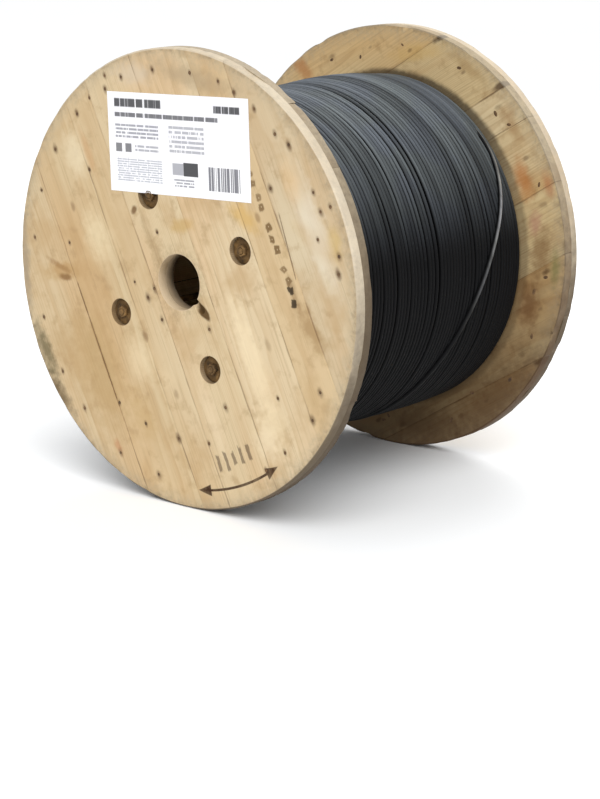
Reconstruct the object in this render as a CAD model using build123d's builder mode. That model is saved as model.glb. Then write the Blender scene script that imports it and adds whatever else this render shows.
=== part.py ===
"""Wooden cable drum, lying on its two rims, with its winding of cable.

Millimetres, +Z up. The axle line runs along Y at the height of the flange's radius, with the
front flange at -Y. The origin is on the floor under the middle of the drum.
"""
from build123d import *
from itertools import accumulate
from math import cos, radians, sin, sqrt, tan
import os

os.makedirs("parts", exist_ok=True)

# Drum
FLANGE_D = 800.0
INNER_WIDTH = 540.0          # clear width between the flanges
BOARD_T = 19.0               # one ply; a flange is an outer and an inner ply, crossed
SEAM = 1.2                   # shrinkage gap between two boards of a ply
SPINDLE_HOLE_D = 98.0
RIM_BREAK = 3.0              # chamfer round the outer edge of a flange

# Barrel
BARREL_D = 450.0
STAVE_T = 19.0
STAVE_COUNT = 16
STAVE_GAP = 1.0              # between neighbouring staves
GROOVE_DEPTH = 8.0           # the stave ends sit this deep in the inner plies
GROOVE_FIT = 0.5             # clearance of the staves in their groove, all round

# Tie rods, through both flanges inside the barrel
ROD_COUNT = 4
ROD_CIRCLE_D = 320.0         # circle that the rods stand on
ROD_PHASE = 26.0             # degrees from +X towards +Z, of the first rod
ROD_D = 12.0
ROD_CLEARANCE = 0.5          # radial, rod in wood and in washer
RECESS_D = 48.0              # counterbore for the washer and nut, in the outer ply
RECESS_DEPTH = 12.0
WASHER_FIT = 1.5             # radial clearance of the washer in the recess
WASHER_T = 3.0
NUT_FLATS = 18.0
NUT_H = 7.5
NUT_CHAMFER = 1.2
THREAD_FIT = 0.1             # radial clearance of the nut on its rod
ROD_STANDOUT = 1.0           # rod end beyond the nut

# Boards. The two plies of a flange cross at right angles. The widths of a ply's boards go from
# the left of the grain's way to the right, and share out the flange in these proportions.
FRONT_RUN = 115.0            # way of the outer ply's grain, in degrees from +X towards +Z
REAR_RUN = 120.0
PLY_CROSSING = 90.0
FRONT_OUTER_WIDTHS = (157.0, 121.0, 62.0, 120.0, 128.0, 74.0, 138.0)
FRONT_INNER_WIDTHS = (108.0, 102.0, 128.0, 122.0, 128.0, 112.0, 100.0)
REAR_INNER_WIDTHS = (125.0, 143.0, 70.0, 128.0, 122.0, 146.0, 66.0)
REAR_OUTER_WIDTHS = (150.0, 130.0, 59.0, 122.0, 129.0, 91.0, 119.0)

# Gouge that a spindle has torn in the edge of the front hole
GOUGE_ANGLE = -38.5          # where it lies round the axle, in degrees from +X towards +Z
GOUGE_REACH = 26.0           # beyond the edge of the hole
GOUGE_W = 15.0
GOUGE_DEPTH = 9.0
GOUGE_TAPER = 15.0           # degrees, its walls off square

# Winding
WINDING_D = 620.0            # at its ends
WINDING_CROWN = 6.0          # how far the fullest turns stand over its ends
CROWN_PLACE = -0.5           # station of the fullest turns, as a share of half its length
CROWN_REACH = 0.55           # how far the crown goes each way, as such a share
WINDING_FIT = 0.3            # radial, over the barrel
TURN_VALLEY = 9.0            # width of the valleys where the outer turns part
TURN_VALLEY_DEPTH = 5.0
# Where the valleys lie, from the middle of the winding, as shares of half its length
TURN_GAPS = (
    -0.937, -0.844, -0.719, -0.626, -0.530, -0.437, -0.189,
    0.0, 0.156, 0.281, 0.437, 0.563, 0.689, 0.844,
)

flange_r = FLANGE_D / 2
barrel_r = BARREL_D / 2
half_width = INNER_WIDTH / 2 + 2 * BOARD_T
recess_floor = half_width - RECESS_DEPTH


def across(station, turn=0.0):
    """Plane square to the axle line: x to the right and y up, seen from the front.

    A station is measured along the axle from mid-width, positive towards the front flange,
    and turn swings the plane's x axis round the axle, in degrees from +X towards +Z.
    """
    sideways = (cos(radians(turn)), 0, sin(radians(turn)))
    return Plane(origin=(0, -station, flange_r), x_dir=sideways, z_dir=(0, -1, 0))


def along():
    """Plane through the axle line: x is the station, y the radius."""
    return Plane(origin=(0, 0, flange_r), x_dir=(0, -1, 0), z_dir=(-1, 0, 0))


def rod_places():
    return PolarLocations(ROD_CIRCLE_D / 2, ROD_COUNT, start_angle=ROD_PHASE)


def finish(piece, label):
    piece.part.label = label
    export_step(piece.part, f"parts/{label}.step")


def make_board(label, side, is_outer, run, low, high):
    """One board of a ply, sawn to the circle, between the seams at low and high.

    side is +1 on the front flange and -1 on the rear one, and run is the way of the grain.
    """
    inward_face = side * (INNER_WIDTH / 2 + (BOARD_T if is_outer else 0.0))
    middle = (low + high) / 2
    place = (middle * sin(radians(run)), -middle * cos(radians(run)))
    with BuildPart() as board:
        with BuildSketch(across(inward_face)):
            Circle(flange_r)
            with Locations(place):
                Rectangle(FLANGE_D, high - low - SEAM, rotation=run, mode=Mode.INTERSECT)
        extrude(amount=side * BOARD_T)
        if is_outer:
            faces_apart = board.edges().filter_by(GeomType.CIRCLE).group_by(Axis.Y)
            chamfer(faces_apart[0 if side > 0 else -1], RIM_BREAK)
        with BuildSketch(across(inward_face)):
            Circle(SPINDLE_HOLE_D / 2)
            with rod_places():
                Circle(ROD_D / 2 + ROD_CLEARANCE)
        extrude(amount=side * BOARD_T, mode=Mode.SUBTRACT)
        if is_outer:
            with BuildSketch(across(side * recess_floor)):
                with rod_places():
                    Circle(RECESS_D / 2)
            extrude(amount=side * RECESS_DEPTH, mode=Mode.SUBTRACT)
        else:
            with BuildSketch(across(inward_face)):
                Circle(barrel_r + GROOVE_FIT)
                Circle(barrel_r - STAVE_T - GROOVE_FIT, mode=Mode.SUBTRACT)
            extrude(amount=side * GROOVE_DEPTH, mode=Mode.SUBTRACT)
        if is_outer and side > 0:
            with BuildSketch(across(half_width, GOUGE_ANGLE)):
                with Locations((SPINDLE_HOLE_D / 2, 0)):
                    SlotOverall(2 * GOUGE_REACH, GOUGE_W)
            extrude(amount=-GOUGE_DEPTH, taper=GOUGE_TAPER, mode=Mode.SUBTRACT)
    finish(board, label)


def make_ply(name, side, is_outer, run, widths):
    """All boards of one ply; the first and the last board run out to the rim."""
    share = FLANGE_D / sum(widths)
    seams = [share * total - flange_r for total in accumulate(widths)][:-1]
    edges = (-flange_r - SEAM, *seams, flange_r + SEAM)
    for number, (low, high) in enumerate(zip(edges, edges[1:]), start=1):
        make_board(f"{name}_board_{number}", side, is_outer, run, low, high)


def make_stave(number):
    """One stave of the barrel: round outside, flat inside, with radial edges."""
    sector = 360.0 / STAVE_COUNT
    half = radians(sector / 2)
    gap = STAVE_GAP / 2
    flat_r = barrel_r - STAVE_T
    inner_half = flat_r * tan(half) - gap / cos(half)
    edge_run = sqrt(barrel_r**2 - gap**2)
    outer_x = edge_run * cos(half) + gap * sin(half)
    outer_half = edge_run * sin(half) - gap * cos(half)
    length = INNER_WIDTH + 2 * (GROOVE_DEPTH - GROOVE_FIT)
    with BuildPart() as stave:
        with BuildSketch(across(-length / 2, ROD_PHASE + number * sector)):
            with BuildLine():
                ThreePointArc((outer_x, -outer_half), (barrel_r, 0), (outer_x, outer_half))
                Polyline(
                    (outer_x, outer_half),
                    (flat_r, inner_half),
                    (flat_r, -inner_half),
                    (outer_x, -outer_half),
                )
            make_face()
        extrude(amount=length)
    finish(stave, f"barrel_stave_{number}")


def make_tie_rod(number):
    """One threaded rod, from nut to nut."""
    reach = recess_floor + WASHER_T + NUT_H + ROD_STANDOUT
    with BuildPart() as rod:
        with BuildSketch(across(-reach, ROD_PHASE + number * 360.0 / ROD_COUNT)):
            with Locations((ROD_CIRCLE_D / 2, 0)):
                Circle(ROD_D / 2)
        extrude(amount=2 * reach)
    finish(rod, f"tie_rod_{number}")


def make_washers():
    """The washers on the floors of the recesses, four to a flange."""
    with BuildPart() as washers:
        for side in (1, -1):
            with BuildSketch(across(side * recess_floor)):
                with rod_places():
                    Circle(RECESS_D / 2 - WASHER_FIT)
                    Circle(ROD_D / 2 + ROD_CLEARANCE, mode=Mode.SUBTRACT)
            extrude(amount=side * WASHER_T)
    finish(washers, "washers")


def make_nuts():
    """The nuts on the washers, with their outward edges chamfered."""
    with BuildPart() as nuts:
        for side in (1, -1):
            with BuildSketch(across(side * (recess_floor + WASHER_T))):
                with rod_places():
                    RegularPolygon(NUT_FLATS / 2, 6, major_radius=False)
            extrude(amount=side * NUT_H)
        end_faces = nuts.faces().sort_by(Axis.Y)
        chamfer((end_faces[:ROD_COUNT] + end_faces[-ROD_COUNT:]).edges(), NUT_CHAMFER)
        for side in (1, -1):
            with BuildSketch(across(side * (recess_floor + WASHER_T))):
                with rod_places():
                    Circle(ROD_D / 2 + THREAD_FIT)
            extrude(amount=side * NUT_H, mode=Mode.SUBTRACT)
    finish(nuts, "nuts")


def make_winding():
    """The cable on the barrel, turned as one, with the valleys where its outer turns part."""
    bore_r = barrel_r + WINDING_FIT
    end = INNER_WIDTH / 2

    def outer_r(station):
        off_crown = (station / end - CROWN_PLACE) / CROWN_REACH
        return WINDING_D / 2 + WINDING_CROWN * max(0.0, 1 - off_crown**2)

    outline = [(-end, bore_r), (-end, outer_r(-end))]
    for share in TURN_GAPS:
        gap = share * end
        for away, depth in ((-TURN_VALLEY / 2, 0), (0, TURN_VALLEY_DEPTH), (TURN_VALLEY / 2, 0)):
            outline.append((gap + away, outer_r(gap + away) - depth))
    outline += [(end, outer_r(end)), (end, bore_r)]
    with BuildPart() as winding:
        with BuildSketch(along()):
            with BuildLine():
                Polyline(*outline, close=True)
            make_face()
        revolve(axis=Axis((0, 0, flange_r), (0, 1, 0)))
    finish(winding, "cable_winding")


make_ply("front_outer", 1, True, FRONT_RUN, FRONT_OUTER_WIDTHS)
make_ply("front_inner", 1, False, FRONT_RUN - PLY_CROSSING, FRONT_INNER_WIDTHS)
make_ply("rear_inner", -1, False, REAR_RUN - PLY_CROSSING, REAR_INNER_WIDTHS)
make_ply("rear_outer", -1, True, REAR_RUN, REAR_OUTER_WIDTHS)
for stave_number in range(1, STAVE_COUNT + 1):
    make_stave(stave_number)
for rod_number in range(1, ROD_COUNT + 1):
    make_tie_rod(rod_number)
make_washers()
make_nuts()
make_winding()
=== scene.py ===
"""Looks of the wooden cable drum.

Boards, staves, ironwork, cable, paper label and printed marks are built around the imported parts,
in metres. The axle runs along Y and the front flange is at -Y. Places on a flange are given in
millimetres from the axle: x to the right and z up, as seen from the front.
"""

import logging
import random
from abc import ABC, abstractmethod
from dataclasses import dataclass, field
from enum import Enum
from math import atan2, cos, floor, hypot, radians, sin, tau
from typing import Any, Iterable, Mapping, Sequence, Union

import bmesh
import bpy
from mathutils import Matrix, Vector, noise


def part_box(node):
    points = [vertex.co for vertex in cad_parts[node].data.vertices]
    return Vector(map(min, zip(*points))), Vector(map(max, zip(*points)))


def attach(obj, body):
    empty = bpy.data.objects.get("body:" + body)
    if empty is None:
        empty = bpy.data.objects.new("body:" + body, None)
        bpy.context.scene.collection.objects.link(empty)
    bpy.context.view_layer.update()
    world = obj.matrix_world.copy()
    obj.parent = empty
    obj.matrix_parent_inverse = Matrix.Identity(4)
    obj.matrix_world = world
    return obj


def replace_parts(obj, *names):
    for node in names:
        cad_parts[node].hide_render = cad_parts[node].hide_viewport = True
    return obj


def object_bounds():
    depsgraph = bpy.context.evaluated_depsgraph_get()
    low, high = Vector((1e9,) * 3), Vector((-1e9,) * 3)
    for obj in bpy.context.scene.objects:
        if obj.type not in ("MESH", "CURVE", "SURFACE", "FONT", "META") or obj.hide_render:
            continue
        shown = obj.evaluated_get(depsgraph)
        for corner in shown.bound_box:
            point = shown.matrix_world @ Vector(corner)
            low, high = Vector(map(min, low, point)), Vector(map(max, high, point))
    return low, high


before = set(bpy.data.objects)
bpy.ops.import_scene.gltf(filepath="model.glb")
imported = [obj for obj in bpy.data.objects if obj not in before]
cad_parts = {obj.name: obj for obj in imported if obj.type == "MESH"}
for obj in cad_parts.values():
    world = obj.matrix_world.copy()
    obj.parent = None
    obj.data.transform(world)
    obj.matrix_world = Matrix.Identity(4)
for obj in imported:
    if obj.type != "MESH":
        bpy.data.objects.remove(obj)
cad_low, cad_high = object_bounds()

MM = 0.001
MERGE = 1e-5
CROWN = "crown"
BOARDS_IN_PLY = 7
RODS = 4
LOG = logging.getLogger("cable_drum")

# A mark's unit along the axle, so large that the depth plays no part
THROUGH = 1e3
# Half the width over which a printed block's edge fades, in millimetres
BLEED = 0.3
# Where parts of a wood's recipe fade in, in millimetres: away from the axle, ...
LINING_EDGE = (50.4, 49.4)
CABLE_CONTACT = (324.0, 312.0)
# ... in from the rim, ...
RIM_EDGE = (4.0, 2.0)
# ... away from mid-width, ...
BORE_MOUTH = (268.0, 291.0)
BORE_DEPTH = (307.0, 278.0)
# ... and above the axle
BORE_SHADE = (-32.0, -3.0)

Colour = tuple[float, float, float]
Paint = tuple[int, int, int]
Triple = tuple[float, float, float]
Feed = Union["Signal", float, Sequence[float]]
Settings = Mapping[str, Any] | None
Inputs = Mapping[int | str, Feed] | None


def shade(red: int, green: int, blue: int) -> Colour:
    """Linear colour of a paint given by its screen values.

    Args:
        red, green, blue: screen values, 0 to 255.

    Returns:
        The three linear values, 0 to 1.
    """
    def linear(value: float) -> float:
        """Undoes the screen's curve."""
        return value / 12.92 if value <= 0.04045 else ((value + 0.055) / 1.055) ** 2.4

    return tuple(linear(value / 255) for value in (red, green, blue))


def scaled(colour: Colour, by: float) -> Colour:
    """A colour made darker or brighter."""
    return tuple(min(1.0, by * value) for value in colour)


def smoothstep(low: float, high: float, value: float) -> float:
    """Runs smoothly from 0 at low to 1 at high; high may be under low, for a step that falls."""
    share = min(1.0, max(0.0, (value - low) / (high - low)))
    return share * share * (3 - 2 * share)


class Side(Enum):
    """The two flanges, by the sign of their place along Y."""

    FRONT = -1
    REAR = 1


class Slot(Enum):
    """The record's material slots, one of which each ply names."""

    FRONT_BOARDS = "front_boards"
    REAR_BOARDS = "rear_boards"
    FLANGE_BOARDS = "flange_boards"
    STEEL = "rusty_steel"
    SHEATH = "cable_sheath"


@dataclass(frozen=True)
class DrumSizes:
    """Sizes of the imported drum, in metres."""

    radius: float
    half_width: float
    clear_half: float
    winding_outline: tuple[tuple[float, float], ...]
    winding_bore: float
    axle: Vector

    @classmethod
    def read(cls) -> "DrumSizes":
        """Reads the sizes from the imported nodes.

        Returns:
            The sizes of this drum.
        """
        outer_low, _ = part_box("front_outer_board_4")
        _, inner_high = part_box("front_inner_board_4")
        radius = (cad_high.x - cad_low.x) / 2
        barrel = max(
            hypot(vertex.co.x, vertex.co.z - radius)
            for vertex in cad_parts["barrel_stave_4"].data.vertices
        )
        return cls(
            radius=radius,
            half_width=-outer_low.y,
            clear_half=-inner_high.y,
            winding_outline=cls._winding_outline(radius),
            winding_bore=barrel,
            axle=Vector((0, 0, radius)),
        )

    @staticmethod
    def _winding_outline(axle_height: float) -> tuple[tuple[float, float], ...]:
        """Reads the winding's outline, over the valleys where its turns part.

        Args:
            axle_height: height of the axle.

        Returns:
            (place along Y, radius) pairs in order.
        """
        reach: dict[float, float] = {}
        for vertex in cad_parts["cable_winding"].data.vertices:
            place = round(vertex.co.y, 5)
            reach[place] = max(reach.get(place, 0.0), hypot(vertex.co.x, vertex.co.z - axle_height))
        rings = sorted(reach.items())
        inner = zip(rings, rings[1:], rings[2:])
        tops = [here for before, here, after in inner if here[1] > min(before[1], after[1])]
        return (rings[0], *tops, rings[-1])

    def winding_radius(self, y: float) -> float:
        """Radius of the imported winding, over its valleys.

        Args:
            y: the place along the axle.

        Returns:
            The radius there.
        """
        outline = self.winding_outline
        for (low_y, low), (high_y, high) in zip(outline, outline[1:]):
            if y <= high_y:
                share = max(0.0, (y - low_y) / (high_y - low_y))
                return low + share * (high - low)
        return outline[-1][1]

    def on_face(self, x: float, z: float, y: float) -> Vector:
        """A point of a flange, x and z millimetres from the axle and y metres along it."""
        return Vector((x * MM, y, self.axle.z + z * MM))


SIZES = DrumSizes.read()


@dataclass(frozen=True)
class Signal:
    """A shader socket, on which Python's operators add maths nodes."""

    recipe: "Recipe"
    socket: bpy.types.NodeSocket

    @property
    def is_vector(self) -> bool:
        """True for a vector or a colour."""
        return self.socket.type in {"VECTOR", "RGBA"}

    def __add__(self, other: Feed) -> "Signal":
        """This plus other."""
        return self.recipe.maths("ADD", self, other)

    __radd__ = __add__

    def __sub__(self, other: Feed) -> "Signal":
        """This less other."""
        return self.recipe.maths("SUBTRACT", self, other)

    def __rsub__(self, other: Feed) -> "Signal":
        """Other less this."""
        return self.recipe.maths("SUBTRACT", other, self)

    def __mul__(self, other: Feed) -> "Signal":
        """This times other."""
        return self.recipe.maths("MULTIPLY", self, other)

    __rmul__ = __mul__

    def __truediv__(self, other: Feed) -> "Signal":
        """This over other."""
        return self.recipe.maths("DIVIDE", self, other)

    def __pow__(self, other: Feed) -> "Signal":
        """This to the power of other."""
        return self.recipe.maths("POWER", self, other)

    def __abs__(self) -> "Signal":
        """This without its sign."""
        return self.recipe.maths("ABSOLUTE", self)

    def __or__(self, other: Feed) -> "Signal":
        """The larger of this and other, as where two masks join."""
        return self.recipe.maths("MAXIMUM", self, other)

    def __and__(self, other: Feed) -> "Signal":
        """The smaller of this and other, as where two masks cross."""
        return self.recipe.maths("MINIMUM", self, other)

    def fraction(self) -> "Signal":
        """What is left past the last whole number."""
        return self.recipe.maths("FRACT", self)

    def whole(self) -> "Signal":
        """The last whole number."""
        return self.recipe.maths("FLOOR", self)

    def part(self, axis: str) -> "Signal":
        """One of a vector's parts, X, Y or Z."""
        return self.recipe.take(axis, "ShaderNodeSeparateXYZ", inputs={0: self})

    def length(self) -> "Signal":
        """A vector's length."""
        return self.recipe.take("Value", "ShaderNodeVectorMath", {"operation": "LENGTH"}, {0: self})


class Recipe:
    """The nodes of one material, and its colour so far."""

    def __init__(self, name: str) -> None:
        """Starts an empty material.

        Args:
            name: the material's name.
        """
        self.material = bpy.data.materials.new(name)
        self.material.use_nodes = True
        self.tree = self.material.node_tree
        self.tree.nodes.clear()
        self.colour: Feed = (0.0, 0.0, 0.0)

    def node(self, kind: str, settings: Settings = None, inputs: Inputs = None) -> bpy.types.Node:
        """Adds a node of any type.

        Args:
            kind: the node's type.
            settings: what is set on it first; stops are a ramp's (place, colour) pairs.
            inputs: values or signals, by socket.

        Returns:
            The node.
        """
        made = self.tree.nodes.new(kind)
        for key, value in (settings or {}).items():
            if key == "stops":
                self._set_stops(made.color_ramp, value)
            else:
                setattr(made, key, value)
        for key, value in (inputs or {}).items():
            self._feed(made.inputs[key], value)
        return made

    def take(
        self, output: int | str, kind: str, settings: Settings = None, inputs: Inputs = None
    ) -> Signal:
        """Adds a node and takes one of its outputs.

        Args:
            output: the output's name or number.
            kind, settings, inputs: as node takes them.

        Returns:
            The output.
        """
        return Signal(self, self.node(kind, settings, inputs).outputs[output])

    def _set_stops(self, ramp: bpy.types.ColorRamp, stops: Sequence[tuple[float, Colour]]) -> None:
        """Gives a ramp its stops.

        Args:
            ramp: the ramp.
            stops: places and colours, from left to right.
        """
        while len(ramp.elements) < len(stops):
            ramp.elements.new(1.0)
        for element, (place, colour) in zip(ramp.elements, stops):
            element.position = place
            element.color = (*colour, 1.0)

    def _feed(self, socket: bpy.types.NodeSocket, value: Feed) -> None:
        """Links a signal to a socket, or sets a plain value on it.

        Args:
            socket: an input.
            value: a signal, a number, or a vector or colour.
        """
        if isinstance(value, Signal):
            self.tree.links.new(value.socket, socket)
        elif socket.type == "RGBA":
            socket.default_value = (*value, 1.0)
        elif socket.type == "VECTOR" and isinstance(value, (int, float)):
            socket.default_value = (value, value, value)
        else:
            socket.default_value = value

    def maths(self, operation: str, *values: Feed) -> Signal:
        """Adds a Math node, or a Vector Math node where a value is a vector.

        Args:
            operation: the node's operation.
            values: its inputs in order.

        Returns:
            The result.
        """
        is_vector = any(
            value.is_vector if isinstance(value, Signal) else not isinstance(value, (int, float))
            for value in values
        )
        kind = "ShaderNodeVectorMath" if is_vector else "ShaderNodeMath"
        return self.take(0, kind, {"operation": operation}, dict(enumerate(values)))

    def mix(self, share: Feed, under: Feed, over: Feed) -> Signal:
        """Mixes two colours, by a share of 0 to 1 of the one over the other."""
        settings = {"data_type": "RGBA", "clamp_factor": True}
        return self.take(2, "ShaderNodeMix", settings, {0: share, 6: under, 7: over})

    def cover(self, share: Feed, over: Feed) -> None:
        """Lays a share, 0 to 1, of a colour over the colour so far."""
        self.colour = self.mix(share, self.colour, over)

    def fade(self, value: Feed, start: Feed, end: Feed) -> Signal:
        """Runs smoothly from 0 at start to 1 at end.

        Args:
            value: what is measured.
            start: where the fade starts.
            end: where it ends; it may be under start.

        Returns:
            The share, 0 to 1.
        """
        settings = {"interpolation_type": "SMOOTHSTEP"}
        inputs = {"Value": value, "From Min": start, "From Max": end}
        return self.take("Result", "ShaderNodeMapRange", settings, inputs)

    def ramp(self, value: Signal, stops: Sequence[tuple[float, Colour]]) -> Signal:
        """Turns a value of 0 to 1 into a colour, by stops from left to right."""
        return self.take("Color", "ShaderNodeValToRGB", {"stops": stops}, {"Fac": value})

    def noise(self, at: Signal, scale: float, detail: float = 2.0, roughness: float = 0.5) -> Signal:
        """Cloudy noise about 0.5, with scale blots to a metre and detail octaves."""
        inputs = {"Vector": at, "Scale": scale, "Detail": detail, "Roughness": roughness}
        return self.take("Fac", "ShaderNodeTexNoise", inputs=inputs)

    def drift(self, at: Signal, scale: float, detail: float = 2.0) -> Signal:
        """Cloudy vector noise about 0, with scale blots to a metre and detail octaves."""
        inputs = {"Vector": at, "Scale": scale, "Detail": detail}
        return self.take("Color", "ShaderNodeTexNoise", inputs=inputs) - (0.5, 0.5, 0.5)

    def attribute(self, name: str) -> Signal:
        """A value kept on the mesh's points, by the attribute's name."""
        return self.take("Fac", "ShaderNodeAttribute", {"attribute_name": name})

    def from_axle(self) -> Signal:
        """The place on the piece, measured from the axle at mid-width."""
        return self.take("Object", "ShaderNodeTexCoord") - tuple(SIZES.axle)

    def placed(self, at: Signal, centre: Triple, turn: Triple, size: Triple) -> Signal:
        """A place in a frame with its own centre, turn in radians and unit along each axis."""
        inputs = {"Vector": at, "Location": centre, "Rotation": turn, "Scale": size}
        return self.take("Vector", "ShaderNodeMapping", {"vector_type": "TEXTURE"}, inputs)

    def finish(
        self,
        roughness: Feed,
        relief: Signal | None = None,
        depth: float = 0.0,
        constants: Mapping[str, float] | None = None,
    ) -> bpy.types.Material:
        """Closes the material with its shader.

        Args:
            roughness: roughness.
            relief: height of the fine relief, 0 to 1.
            depth: metres that a relief of 1 stands proud.
            constants: the shader's other sockets.

        Returns:
            The material.
        """
        inputs: dict[int | str, Feed] = {"Base Color": self.colour, "Roughness": roughness}
        inputs.update(constants or {})
        if relief is not None:
            bump = self.node("ShaderNodeBump", inputs={"Height": relief, "Distance": depth})
            inputs["Normal"] = Signal(self, bump.outputs["Normal"])
        shader = self.node("ShaderNodeBsdfPrincipled", inputs=inputs)
        output = self.node("ShaderNodeOutputMaterial")
        self.tree.links.new(shader.outputs["BSDF"], output.inputs["Surface"])
        return self.material


class Mark(ABC):
    """Something on the face of a board, in millimetres about the axle."""

    @abstractmethod
    def middle(self) -> tuple[float, float]:
        """Its middle, as x and z."""

    @abstractmethod
    def reach(self) -> float:
        """How far it goes from its middle."""

    @abstractmethod
    def mask(self, recipe: Recipe, place: Signal, ragged: Signal) -> Signal:
        """Where it shows.

        Args:
            recipe: the material.
            place: the place from the axle, in metres.
            ragged: noise about 0 that frays its edge.

        Returns:
            The share, 0 to 1.
        """


@dataclass(frozen=True)
class Spot(Mark):
    """A mark with a middle, a length along its turn and a width across it."""

    x: float
    z: float
    half_length: float
    half_width: float
    turn: float
    colour: Colour
    strength: float = 1.0

    def middle(self) -> tuple[float, float]:
        """Its middle, as x and z."""
        return self.x, self.z

    def reach(self) -> float:
        """How far it goes from its middle."""
        return 1.2 * max(self.half_length, self.half_width)

    def local(self, recipe: Recipe, place: Signal) -> Signal:
        """The place in the mark's own frame, in half lengths and half widths."""
        size = (self.half_length * MM, THROUGH, self.half_width * MM)
        return recipe.placed(place, (self.x * MM, 0, self.z * MM), (0, -radians(self.turn), 0), size)


@dataclass(frozen=True)
class Blot(Spot):
    """A soft round or long stain, knot or spot."""

    soft: float = 0.5
    fray: float = 0.5

    def mask(self, recipe: Recipe, place: Signal, ragged: Signal) -> Signal:
        """Where it shows, 0 to 1."""
        away = self.local(recipe, place).length() + ragged * self.fray
        return recipe.fade(away, 1.0, 1.0 - self.soft) * self.strength


@dataclass(frozen=True)
class Stroke(Spot):
    """A straight bar of ink, or a crack."""

    fray: float = 0.6

    def mask(self, recipe: Recipe, place: Signal, ragged: Signal) -> Signal:
        """Where it shows, 0 to 1."""
        away = abs(self.local(recipe, place))
        return recipe.fade((away.part("X") | away.part("Z")) + ragged * self.fray, 1.1, 0.8) * self.strength


@dataclass(frozen=True)
class DoubleArrow(Mark):
    """The curved arrow, with a head at each end, that shows which ways the drum may be rolled."""

    arc_radius: float
    start: float
    end: float
    half_width: float
    head_length: float
    head_half_width: float
    colour: Colour
    strength: float = 1.0

    @property
    def middle_way(self) -> float:
        """The angle of its middle, in radians."""
        return radians((self.start + self.end) / 2)

    @property
    def half_arc(self) -> float:
        """Half its length along the arc."""
        return self.arc_radius * radians(self.end - self.start) / 2

    def middle(self) -> tuple[float, float]:
        """Its middle, as x and z."""
        return self.arc_radius * cos(self.middle_way), self.arc_radius * sin(self.middle_way)

    def reach(self) -> float:
        """How far it goes from its middle."""
        return self.half_arc + self.head_length

    def mask(self, recipe: Recipe, place: Signal, ragged: Signal) -> Signal:
        """Where it shows.

        Args:
            recipe: the material.
            place: the place from the axle, in metres.
            ragged: noise about 0 that frays its edge.

        Returns:
            The share, 0 to 1.
        """
        way = recipe.maths("ARCTAN2", place.part("Z"), place.part("X"))
        off_arc = abs((place * (1, 0, 1)).length() / MM - self.arc_radius)
        past_shaft = abs(way - self.middle_way) * self.arc_radius - (self.half_arc - self.head_length)
        shaft = recipe.fade(off_arc / self.half_width + ragged * 0.5, 1.2, 0.7)
        shaft = shaft * recipe.fade(past_shaft, 2.0, 0.0)
        slope = off_arc / self.head_half_width + past_shaft / self.head_length + ragged * 0.25
        head = recipe.fade(slope, 1.1, 0.9) * recipe.fade(past_shaft, -1.0, 1.0)
        return (shaft | head) * (self.strength + 0.8 * ragged)


@dataclass(frozen=True)
class Grime:
    """Dirt that gathers towards the rim of a flange."""

    colour: Colour
    inside: float
    outside: float
    strength: float


@dataclass(frozen=True)
class FootShade:
    """Painted shade that darkens a flange towards the floor, in millimetres above the axle."""

    colour: Colour
    top: float
    bottom: float
    on_face: float
    on_rim: float
    rim_rise: float = 0.0


@dataclass(frozen=True)
class RimTone:
    """Colour of the sawn rim, which on the outer plies holds a painted highlight, under the painted shade
    of the foot.
    """

    colour: Colour
    strength: float


@dataclass(frozen=True)
class WearAndShade:
    """The dirt, tones, painted shade and painted highlight that all boards of a ply share."""

    grimes: tuple[Grime, ...] = ()
    foot: FootShade | None = None
    rim: RimTone | None = None
    at_bore: float = 0.0
    cable_shade: float = 0.0


@dataclass(frozen=True)
class WoodFinish:
    """Sawn softwood with its rings, fibres, stains and marks."""

    name: str
    turn: Triple
    pale: Colour
    ring: Colour
    flush: Colour
    pith: tuple[float, float]
    ring_width: float
    seed: float
    wear_and_shade: WearAndShade = WearAndShade()
    marks: tuple[Mark, ...] = ()
    edges: tuple[float, float] | None = None
    contrast: float = 1.0
    mottling: float = 0.42

    def material(self) -> bpy.types.Material:
        """Makes the material."""
        return WoodRecipe(self).build()


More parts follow.
